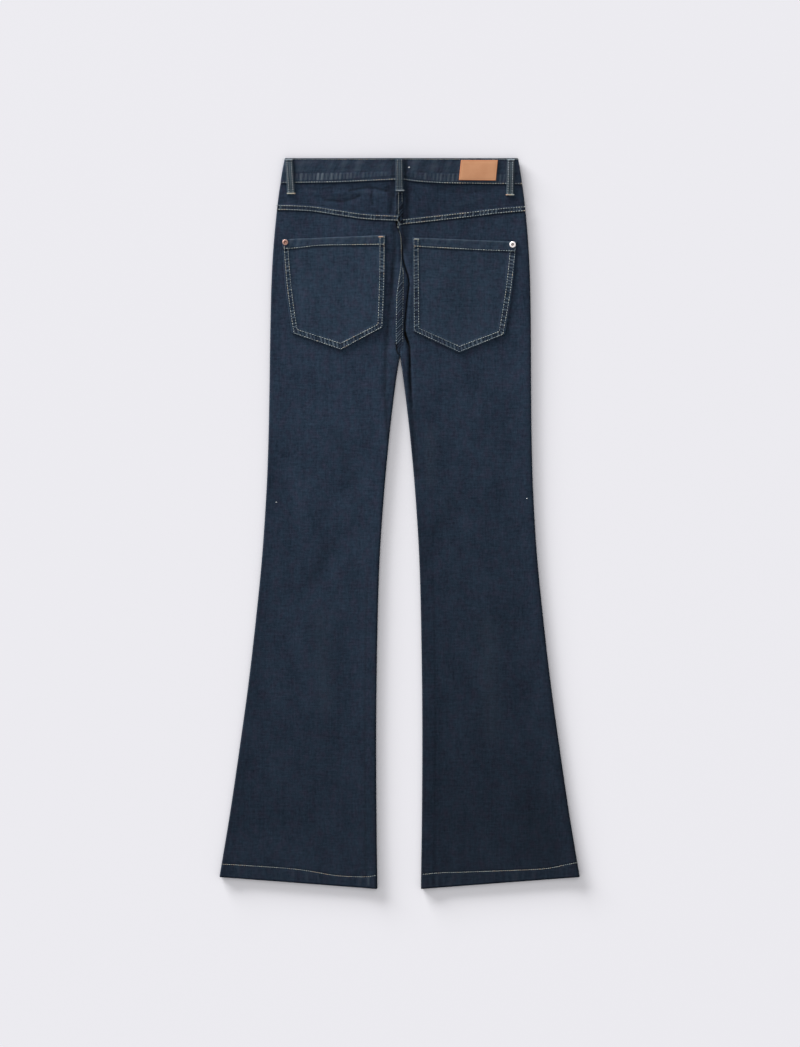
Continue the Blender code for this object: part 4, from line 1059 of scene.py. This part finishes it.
def board_material():
    """Tan bonded leather: cloudy colour, fine pores and darker pressed edges."""
    material, tree, shader = new_material("patch_board")
    cut = node_in(tree, "ShaderNodeUVMap", uv_map="cut")
    cloud = stretched_noise(tree, cut.outputs[0], (1.0, 1.0), 60.0, 5.0)
    pores = stretched_noise(tree, cut.outputs[0], (1.0, 0.8), 1500.0, 3.0)
    colour = blend_colours(tree, cloud, (0.455, 0.195, 0.09, 1), (0.60, 0.305, 0.165, 1))
    fine = maths(tree, "MULTIPLY", maths(tree, "SUBTRACT", pores, 0.45), 1.2, clamp=True)
    colour = blend_colours(tree, fine, colour, (0.54, 0.285, 0.155, 1))
    wear_and_shading = node_in(tree, "ShaderNodeAttribute", attribute_name="wear_and_shading")
    edge_share = maths(tree, "MULTIPLY", wear_and_shading.outputs["Fac"], -0.8, clamp=True)
    colour = blend_colours(tree, edge_share, colour, (0.36, 0.10, 0.035, 1))
    tree.links.new(colour, shader.inputs["Base Color"])
    rough = maths(tree, "ADD", maths(tree, "MULTIPLY", pores, 0.2), 0.42)
    tree.links.new(rough, shader.inputs["Roughness"])
    raise_grain(tree, shader, pores, 0.25, 0.0002)
    shader.inputs["Specular IOR Level"].default_value = 0.35
    return material


patch.data.materials.append(board_material())
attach(patch, "root")
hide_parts("waist_patch")

# Rivets and button
# Ring rivets hold the pockets' outer top corners: a coppery one on the left, and on the right one painted
# near-white as a glint. A brass button closes the waist under the garment. All are stamped metal.
TURN_STEPS = 40


def metal_material(name, bright, dull, dark, roughness):
    """Plated metal: tarnished patches, painted shade in its hollow, and a finer grain that breaks up the
    shine.
    """
    material, tree, shader = new_material(name)
    shader.inputs["Metallic"].default_value = 1.0
    place = node_in(tree, "ShaderNodeTexCoord")
    patches = node_in(tree, "ShaderNodeTexNoise", {"Scale": 420.0, "Detail": 4.0})
    grain = node_in(tree, "ShaderNodeTexNoise", {"Scale": 2600.0, "Detail": 2.0})
    tree.links.new(place.outputs["Object"], patches.inputs["Vector"])
    tree.links.new(place.outputs["Object"], grain.inputs["Vector"])
    share = maths(tree, "MULTIPLY", maths(tree, "SUBTRACT", patches.outputs["Fac"], 0.4), 2.2, clamp=True)
    colour = blend_colours(tree, share, (*bright, 1), (*dull, 1))
    painted_hollow_shade = node_in(tree, "ShaderNodeAttribute", attribute_name="painted_hollow_shade")
    # the hollow is darkened as painted shade
    colour = blend_colours(tree, maths(tree, "MULTIPLY", painted_hollow_shade.outputs["Fac"], 0.9), colour, (*dark, 1))
    tree.links.new(colour, shader.inputs["Base Color"])
    rough = maths(tree, "ADD", maths(tree, "MULTIPLY", grain.outputs["Fac"], 0.16), roughness)
    tree.links.new(rough, shader.inputs["Roughness"])
    raise_grain(tree, shader, grain.outputs["Fac"], 0.12, 0.0001)
    return material


def turned_piece(name, profile, place, material, node, hollow):
    """A round piece: its profile of (radius, height) spun once and set in its place."""
    bm = bmesh.new()
    verts = [bm.verts.new((radius * MM, 0, height * MM)) for radius, height in profile]
    edges = [bm.edges.new(pair) for pair in zip(verts, verts[1:])]
    bmesh.ops.spin(bm, geom=verts + edges, cent=(0, 0, 0), axis=(0, 0, 1), angle=2 * math.pi,
                   steps=TURN_STEPS, use_merge=True)
    bmesh.ops.remove_doubles(bm, verts=bm.verts[:], dist=0.005 * MM)
    bmesh.ops.recalc_face_normals(bm, faces=bm.faces[:])
    bmesh.ops.translate(bm, verts=bm.verts[:], vec=place)
    mesh = bpy.data.meshes.new(name)
    bm.to_mesh(mesh)
    bm.free()
    radii = [math.hypot(vert.co.x - place[0], vert.co.y - place[1]) / MM for vert in mesh.vertices]
    # the hollow between these radii is marked for painted shade
    painted_hollow_shade = [1.0 if hollow[0] < radius < hollow[1] else 0.0 for radius in radii]
    mesh.attributes.new("painted_hollow_shade", "FLOAT", "POINT").data.foreach_set("value", painted_hollow_shade)
    mesh.shade_smooth()
    mesh.set_sharp_from_angle(angle=math.radians(50))
    mesh.materials.append(material)
    piece = set_out(name, mesh)
    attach(piece, "root")
    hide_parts(node)
    return piece


def rounded_profile(points, steps=5):
    """A profile through the points with its inner corners rounded off."""
    curve = [points[0]]
    for before, corner, after in zip(points, points[1:], points[2:]):
        start = [(a + 2 * b) / 3 for a, b in zip(before, corner)]
        end = [(2 * b + c) / 3 for b, c in zip(corner, after)]
        for step in range(steps):
            t = step / (steps - 1)
            curve.append(tuple((1 - t) ** 2 * s + 2 * t * (1 - t) * b + t * t * e
                               for s, b, e in zip(start, corner, end)))
    return curve + [points[-1]]


rivet_copper = metal_material("rivet_copper", (0.55, 0.35, 0.30), (0.38, 0.21, 0.165),
                              (0.13, 0.05, 0.03), 0.45)
# the right rivet's near-white colour is a painted glint, standing in for reflected light
rivet_painted_glint = metal_material("rivet_painted_glint", (1.0, 0.95, 0.94), (1.0, 0.90, 0.88),
                              (0.14, 0.10, 0.09), 0.56)
RIVETS = {"pocket_rivet_left": (-171.4, 126.3, rivet_copper, 0.96),
          "pocket_rivet_right": (169.5, 129.7, rivet_painted_glint, 1.05)}
RIVET_PROFILE = [(0, 0), (4.3, 0), (4.5, 0.4), (4.1, 0.85), (2.9, 1.1), (1.9, 0.95), (1.3, 0.45),
                 (0, 0.45)]
RIVET_HOLLOW = (0.9, 2.3)
RIVET_OVER_BACK = 2.15
for name, (rivet_across, rivet_down, plating, size) in RIVETS.items():
    seat = float(back_relief(np.array([rivet_across]), np.array([rivet_down]))[0][0])
    seat += RIVET_OVER_BACK
    profile = [(radius * size, height) for radius, height in rounded_profile(RIVET_PROFILE)]
    turned_piece(name + "_ring", profile, (rivet_across * MM, waist_y - rivet_down * MM, seat * MM),
                 plating, name, RIVET_HOLLOW)

button_brass = metal_material("button_brass", (0.62, 0.44, 0.22), (0.30, 0.19, 0.09),
                              (0.05, 0.035, 0.02), 0.3)
BUTTON_PROFILE = [(0, 0.4), (5.4, 0.4), (6.1, 0.02), (7.9, 0.02), (8.5, 0.4), (8.5, 1.1), (7.8, 1.5),
                  (0, 1.5)]
turned_piece("waist_button_disc", rounded_profile(BUTTON_PROFILE), (-2.0 * MM, waist_y - 20.0 * MM, 0.0),
             button_brass, "waist_button", (5.2, 5.9))

# Topstitching
# Rows of olive and golden lockstitches, mostly one to every 3.8 mm, hold the pieces together. Each
# stitch is a short bowed length of spun thread that dives into the cloth at both ends.
STITCH_PITCH = 3.8
STITCH_LENGTH = 2.1
THREAD = 1.05
stitch_draw = np.random.default_rng(5)


def stitch_shape():
    """One stitch of unit length along X: a six-sided thread bowed down at its ends."""
    bm = bmesh.new()
    bmesh.ops.create_cone(bm, cap_ends=True, segments=6, radius1=0.5, radius2=0.5, depth=1.0)
    bmesh.ops.rotate(bm, verts=bm.verts[:], cent=(0, 0, 0), matrix=Matrix.Rotation(QUARTER, 3, "Y"))
    for cut in (-0.27, 0.27):
        bmesh.ops.bisect_plane(bm, geom=bm.verts[:] + bm.edges[:] + bm.faces[:], plane_co=(cut, 0, 0),
                               plane_no=(1, 0, 0))
    for vert in bm.verts:
        if abs(vert.co.x) > 0.4:
            vert.co.y *= 0.6
            vert.co.z = vert.co.z * 0.6 - 0.55
    mesh = bpy.data.meshes.new("stitch")
    bm.to_mesh(mesh)
    bm.free()
    corners = np.array([vert.co[:] for vert in mesh.vertices])
    faces = [tuple(face.vertices) for face in mesh.polygons]
    bpy.data.meshes.remove(mesh)
    return corners, faces


stitch_corners, stitch_faces = stitch_shape()


def walk(path, pitch):
    """Places at an even pitch along a path of places, with the direction at each."""
    path = np.asarray(path, float)
    steps = np.hypot(*np.diff(path, axis=0).T)
    along = np.concatenate([[0], np.cumsum(steps)])
    count = max(1, int(along[-1] / pitch))
    marks = (np.arange(count) + 0.5) * along[-1] / count
    places = np.stack([np.interp(marks, along, path[:, k]) for k in (0, 1)], -1)
    ahead = np.stack([np.interp(marks + 0.8, along, path[:, k]) for k in (0, 1)], -1)
    behind = np.stack([np.interp(marks - 0.8, along, path[:, k]) for k in (0, 1)], -1)
    return places, ahead - behind


def sew_row(path, face, pitch=STITCH_PITCH, length=STITCH_LENGTH, thread=THREAD, slant=5.0, tone=0.45,
            below=False):
    """Stitches along a row as (middle, direction angle, length, thread, tone, which way is up)."""
    places, run = walk(path, pitch)
    height = face(places[:, 0], places[:, 1])
    angle = np.arctan2(-run[:, 1], run[:, 0]) + np.radians(slant + stitch_draw.normal(0, 2.5, len(places)))
    reach = 0.5 * length
    ahead = face(places[:, 0] + reach * np.cos(angle), places[:, 1] - reach * np.sin(angle))
    behind = face(places[:, 0] - reach * np.cos(angle), places[:, 1] + reach * np.sin(angle))
    tilt = np.arctan2(ahead - behind, 2 * reach)
    tones = np.clip(tone + 0.22 * np.sin(np.arange(len(places)) / 9.0 + stitch_draw.uniform(0, 6))
                    + stitch_draw.normal(0, 0.26, len(places)), 0, 1)
    lift = height + (-0.16 if below else 0.16)
    size = length * (1 + stitch_draw.normal(0, 0.1, len(places)))
    up = np.full(len(places), -1.0 if below else 1.0)
    thick = np.full(len(places), thread)
    return np.stack([places[:, 0], places[:, 1], lift, angle, tilt, size, thick, tones, up], -1)


def thread_material(name, shades):
    """Spun thread: its tone varies from stitch to stitch, with a fine ply in the bump."""
    material, tree, shader = new_material(name)
    tone = node_in(tree, "ShaderNodeAttribute", attribute_name="tone")
    ramp = node_in(tree, "ShaderNodeValToRGB")
    ramp.color_ramp.elements[0].color = (*shades[0], 1)
    ramp.color_ramp.elements[1].color = (*shades[-1], 1)
    for step, shade in enumerate(shades[1:-1], 1):
        ramp.color_ramp.elements.new(step / (len(shades) - 1)).color = (*shade, 1)
    tree.links.new(tone.outputs["Fac"], ramp.inputs["Fac"])
    place = node_in(tree, "ShaderNodeTexCoord")
    fibre = node_in(tree, "ShaderNodeTexNoise", {"Scale": 4200.0, "Detail": 2.0})
    tree.links.new(place.outputs["Object"], fibre.inputs["Vector"])
    tree.links.new(blend_colours(tree, maths(tree, "MULTIPLY", fibre.outputs["Fac"], 0.45),
                                 ramp.outputs["Color"], (0.06, 0.07, 0.07, 1)), shader.inputs["Base Color"])
    rough = maths(tree, "ADD", maths(tree, "MULTIPLY", fibre.outputs["Fac"], 0.2), 0.62)
    tree.links.new(rough, shader.inputs["Roughness"])
    raise_grain(tree, shader, fibre.outputs["Fac"], 0.3, 0.0001)
    shader.inputs["Sheen Weight"].default_value = 0.2
    return material


gold_thread = thread_material("gold_thread", [(0.19, 0.24, 0.265), (0.39, 0.45, 0.46), (0.56, 0.60, 0.54),
                                              (0.58, 0.47, 0.35)])


def stitch_piece(name, rows, material=gold_thread):
    """Joins rows of stitches into one piece."""
    rows = np.concatenate(rows)
    count, size = len(rows), len(stitch_corners)
    local = np.repeat(stitch_corners[None], count, 0)
    along = local[..., 0] * rows[:, 5, None]
    sideways = local[..., 1] * rows[:, 6, None]
    up = local[..., 2] * rows[:, 6, None] * rows[:, 8, None]
    cos_tilt, sin_tilt = np.cos(rows[:, 4, None]), np.sin(rows[:, 4, None])
    ahead = along * cos_tilt - up * sin_tilt
    rise = along * sin_tilt + up * cos_tilt
    cos_turn, sin_turn = np.cos(rows[:, 3, None]), np.sin(rows[:, 3, None])
    x = rows[:, 0, None] + ahead * cos_turn - sideways * sin_turn
    y = -rows[:, 1, None] + ahead * sin_turn + sideways * cos_turn
    z = rows[:, 2, None] + rise
    corners = np.stack([x * MM, waist_y + y * MM, z * MM], -1).reshape(-1, 3)
    faces = [tuple(corner + block * size for corner in face)
             for block in range(count) for face in stitch_faces]
    mesh = bpy.data.meshes.new(name)
    mesh.from_pydata(corners.tolist(), [], faces)
    tones = np.repeat(rows[:, 7], size).astype(np.float32)
    mesh.attributes.new("tone", "FLOAT", "POINT").data.foreach_set("value", tones)
    bm = bmesh.new()
    bm.from_mesh(mesh)
    bmesh.ops.recalc_face_normals(bm, faces=bm.faces[:])
    bm.to_mesh(mesh)
    bm.free()
    mesh.shade_smooth()
    mesh.materials.append(material)
    piece = set_out(name, mesh)
    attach(piece, "root")
    return piece


def line_across(low, high, line, step=4.0):
    places = spread(low, high, step)
    return np.stack([places, line(places)], -1)


band_height = lambda across, down: band_face(across, down)[0]
band_rows = [sew_row(line_across(-176.0, 180.0, lambda x: 0 * x + 1.7), band_height, pitch=2.6, length=1.9,
                     thread=0.45),
             sew_row(line_across(-180.0, -5.5, lambda x: band_seam(x) - BAND_ROW_OVER_SEAM), band_height),
             sew_row(line_across(5.5, 184.0, lambda x: band_seam(x) - BAND_ROW_OVER_SEAM), band_height)]
stitch_piece("stitches_waistband", band_rows)

for side, word in SIDES.items():
    yoke_height = lambda across, down, s=side: yoke_face(s, across, down)[0]
    reach = (-186.0, -1.5) if side < 0 else (4.5, 189.0)
    rows = [sew_row(line_across(*reach, lambda x, s=side, o=over: yoke_seam(s, x) - o), yoke_height,
                    thread=1.0, tone=0.42)
            for over in (YOKE_ROW_OVER_SEAM, YOKE_ROW_OVER_SEAM + YOKE_ROWS_APART)]
    stitch_piece("stitches_yoke_" + word, rows)

# the seat seam's two rows, hidden for a stretch where the left panel folds over them
back_height = lambda across, down: back_relief(across, down)[0]
SEAT_ROWS = [[(-1.6, 51), (-1.4, 60), (-1.8, 72), (-1.0, 88)], [(3.4, 51), (3.8, 66)],
             [(-2.1, 97.6), (-3.2, 101), (-3.0, 105)], [(0.5, 98.4), (-0.8, 102), (-2.4, 105.4)],
             [(-0.6, 109), (1.2, 114), (2.2, 121), (2.6, 150), (2.0, 164), (-1.0, 184), (-4.1, 205),
              (-4.7, 235), (-5.0, 260), (-4.8, 279)],
             [(4.8, 164), (5.4, 171), (5.4, 195), (5.0, 226), (4.4, 260), (5.0, 276)]]
seat_rows = [sew_row(path, back_height, pitch=3.5, length=1.8, thread=0.68, tone=0.35)
             for path in SEAT_ROWS[:-1]]
seat_rows.append(sew_row(SEAT_ROWS[-1], back_height, pitch=3.5, length=1.8, thread=0.5, tone=0.2))
seat_rows.append(sew_row([(-2.5, 95.0), (0.2, 97.6), (3.0, 100.2)], back_height, pitch=2.0, length=1.9,
                         thread=0.9))
stitch_piece("stitches_seat_seam", seat_rows)


def pocket_line(pocket, insets, start_row, end_row):
    """A row of stitches down the outer side of a pocket, round its foot and up the inner side."""
    def at(column, row):
        x, y = pocket_places(pocket, np.array([column]), np.array([row]))
        return x[0], y[0]

    outer_top, outer_foot, inner_inset, foot_inset = insets
    foot = 1 - foot_inset / FOOT_SLOPE / POCKET_LENGTH
    down_side, up_side = [], []
    for row in np.linspace(start_row, foot, 16):
        width = at(1.0, row)[0] - at(0.0, row)[0]
        down_side.append(at((outer_top + (outer_foot - outer_top) * row) / abs(width), row))
    for row in np.linspace(foot, end_row, 16):
        width = at(1.0, row)[0] - at(0.0, row)[0]
        up_side.append(at(1 - inner_inset / abs(width), row))
    return down_side + [at(POCKET_POINT_PART, foot)] + up_side


def pocket_height(pocket):
    """Height of a pocket's face at places on the back, found through its cut."""
    def height(across, down):
        column, row = np.full(across.shape, 0.5), np.full(across.shape, 0.5)
        for _ in range(12):
            x, y = pocket_places(pocket, column, row)
            width = pocket["inner_top"][0] - pocket["outer_top"][0]
            column = np.clip(column + (across - x) / width, 0, 1)
            row = np.clip(row + (down - y) / POCKET_LENGTH, 0, 1)
        return pocket_face(pocket, column, row)[0]
    return height


for word, pocket in POCKETS.items():
    height = pocket_height(pocket)
    hem_columns = np.linspace(0.012, 0.988, 24)
    hem_x, hem_y = pocket_places(pocket, hem_columns, np.zeros(24))
    hem_path = np.stack([hem_x, hem_y + read_curve(pocket["hem"], hem_columns)], -1)
    first, second = POCKET_ROWS[word]
    tone = 0.36 if word == "left" else 0.16
    rows = [sew_row(hem_path, height, length=2.6, thread=0.8, tone=0.38)]
    for insets, start_row, end_row in ((first, 0.07, 0.012), (second, 0.09, 0.02)):
        line = pocket_line(pocket, insets, start_row, end_row)
        rows.append(sew_row(line[:16], height, length=2.6, thread=0.66, tone=tone))
        rows.append(sew_row(line[15:18], height, length=3.3, thread=0.56, tone=tone))
        rows.append(sew_row(line[17:], height, length=2.6, thread=0.66, tone=tone))
    stitch_piece("stitches_pocket_" + word, rows)

for side, word in SIDES.items():
    panel_height = lambda across, down, s=side: panel_face(s, across, down)[0]
    low, high = (-266.0, -35.5) if side < 0 else (34.5, 266.0)
    rows = [sew_row(line_across(low, high, lambda x, s=side: hem_stitch(s, x)), panel_height, pitch=3.2,
                    length=2.3, thread=0.45, tone=0.68)]
    rows.append(sew_row(line_across(low, high, lambda x, s=side: hem_stitch(s, x)), lambda x, y: 0 * x + 0.35,
                        below=True))
    stitch_piece("stitches_hem_" + word, rows)

# Bar tacks and loop stitches
# Dense zigzag bars end the belt loops and the pocket mouths: golden to rusty thread at the pockets'
# corners and the side loops' feet, and the loops' own pale thread elsewhere.
pale_thread = thread_material("pale_thread", [(0.16, 0.19, 0.22), (0.42, 0.49, 0.54), (0.60, 0.67, 0.72)])
tack_thread = thread_material("tack_thread", [(0.42, 0.46, 0.43), (0.54, 0.49, 0.38), (0.58, 0.33, 0.22)])


def bar_tack(middle, width, depth, face, tone, slope=0.0, turn=0.0):
    """A bar of close stitches across its width, each as long as the bar is deep; tone turns along it."""
    places = spread(-width / 2, width / 2, 0.55)
    path_x, path_y = middle[0] + places, middle[1] + slope * places
    height = face(path_x, path_y) + 0.35
    count = len(places)
    lean = np.where(np.arange(count) % 2 == 0, 0.22, -0.22)
    tones = np.clip(tone + turn * places / width + stitch_draw.normal(0, 0.2, count), 0, 1)
    columns = [path_x, path_y, height, QUARTER + lean, np.zeros(count), np.full(count, depth),
               np.full(count, 0.62), tones, np.ones(count)]
    return np.stack(columns, -1)


# tone and thickness of each back loop's coverstitch
LOOP_THREADS = {"belt_loop_centre_back": (0.3, 0.7), "belt_loop_back_left": (0.7, 1.05),
                "belt_loop_back_right": (0.9, 1.25)}
loop_rows, tack_rows, pale_rows = [], [], []
for name, loop in BACK_LOOPS.items():
    def on_loop(across, down, loop=loop):
        return loop_face(loop, across - loop_middle(loop, down), down)[0]

    for sign in (-1, 1):
        ends = [(loop[0] + sign * LOOP_ROW_OFFSET, 1.5), (loop[1] + sign * LOOP_ROW_OFFSET, loop[2] - 2.2)]
        tone, thread = LOOP_THREADS[name]
        loop_rows.append(sew_row(ends, on_loop, pitch=3.4, length=1.5, thread=thread, slant=12 * sign,
                                 tone=tone))
    if name == "belt_loop_centre_back":
        pale_rows.append(bar_tack((loop[1] + 1.0, loop[2] - 1.6), LOOP_WIDTH + 0.4, 1.6, on_loop, 0.12))
    else:
        turn = 0.5 if name == "belt_loop_back_left" else -1.1
        tack_rows.append(bar_tack((loop[1], loop[2] - 1.6), LOOP_WIDTH + 0.6, 1.7, on_loop, 0.45, turn=turn))
        pale_rows.append(bar_tack((loop[0], 2.6), LOOP_WIDTH - 0.6, 1.2, on_loop, 0.3))
stitch_piece("stitches_belt_loops", loop_rows + pale_rows, pale_thread)

left_pocket, right_pocket = pocket_height(POCKETS["left"]), pocket_height(POCKETS["right"])
tack_rows.append(bar_tack((-28.0, 118.0), 6.6, 1.7, left_pocket, 0.95, slope=-0.04))
tack_rows.append(bar_tack((25.6, 121.6), 6.4, 1.4, right_pocket, 0.0, slope=0.04))
stitch_piece("bar_tacks", tack_rows, tack_thread)

# Front stitching
# The side that lies on the floor has the fly's curved double row and the band's row, which leaves
# out the button's place. It shows only when the garment is seen from below.
fly_path = [(26, 42), (27, 90), (26, 130), (22, 156), (13, 174), (1.5, 184)]
under = lambda x, y: underside(y) + 0.35
front_rows = [sew_row(fly_path, under, below=True),
              sew_row([(x + 6.5, y + 2.0) for x, y in fly_path], under, below=True),
              sew_row([(-176, 36.5), (-12, 36.8)], under, below=True),
              sew_row([(12, 36.9), (180, 37.4)], under, below=True)]
stitch_piece("stitches_front", front_rows)

# Lint
# Three pale specks of loose thread lie on the cloth, one by each outer knee and one on the band.
lint_rows = []
for (lint_across, lint_down), face, thickness in (((-184.6, 515.4), back_height, 0.6),
                                                  ((190.8, 509.9), back_height, 1.1),
                                                  ((14.1, 13.8), band_height, 1.4)):
    ends = [(lint_across - 0.9, lint_down), (lint_across + 0.9, lint_down + 0.5)]
    lint_rows.append(sew_row(ends, face, pitch=1.6, length=2.1, thread=thickness, slant=30))
white_thread = thread_material("white_thread", [(0.88, 0.90, 0.92), (0.95, 0.95, 0.95)])
stitch_piece("lint", lint_rows, white_thread)

# Floor and light
# A plain pale floor, lit by a long soft box far off and low on the upper left, so that the shadow
# falls softly to the right and below, and by an even pale surround.
bm = bmesh.new()
bmesh.ops.create_grid(bm, x_segments=1, y_segments=1, size=6.0)
floor_mesh = bpy.data.meshes.new("floor")
bm.to_mesh(floor_mesh)
bm.free()
floor = set_out("floor", floor_mesh)
floor_paper, _, paper = new_material("floor_paper")
paper.inputs["Base Color"].default_value = (0.831, 0.823, 0.863, 1)
paper.inputs["Roughness"].default_value = 1.0
paper.inputs["Specular IOR Level"].default_value = 0.0
floor_mesh.materials.append(floor_paper)

KEY_SHARE = 0.36
KEY_STRENGTH = 1.11
KEY_ELEVATION = math.radians(9)
KEY_TURN = math.radians(127)
KEY_DISTANCE = 140.0
key = bpy.data.lights.new("key", "AREA")
key.shape = "RECTANGLE"
key.size = 2 * KEY_DISTANCE * math.tan(math.radians(19))
key.size_y = 2 * KEY_DISTANCE * math.tan(math.radians(5.5))
key.energy = KEY_STRENGTH * KEY_SHARE * (math.pi * KEY_DISTANCE) ** 2 / math.sin(KEY_ELEVATION)
key_lamp = set_out("key", key)
towards = Vector((math.cos(KEY_TURN) * math.cos(KEY_ELEVATION), math.sin(KEY_TURN) * math.cos(KEY_ELEVATION),
                  math.sin(KEY_ELEVATION)))
key_lamp.location = towards * KEY_DISTANCE
key_lamp.rotation_euler = towards.to_track_quat("Z", "Y").to_euler()
key_lamp.visible_camera = False
surround = bpy.data.worlds.new("surround")
surround.use_nodes = True
surround.node_tree.nodes["Background"].inputs["Color"].default_value = (1.0, 1.0, 1.0, 1)
surround.node_tree.nodes["Background"].inputs["Strength"].default_value = 1 - KEY_SHARE
bpy.context.scene.world = surround
bpy.context.scene.view_settings.view_transform = "Standard"
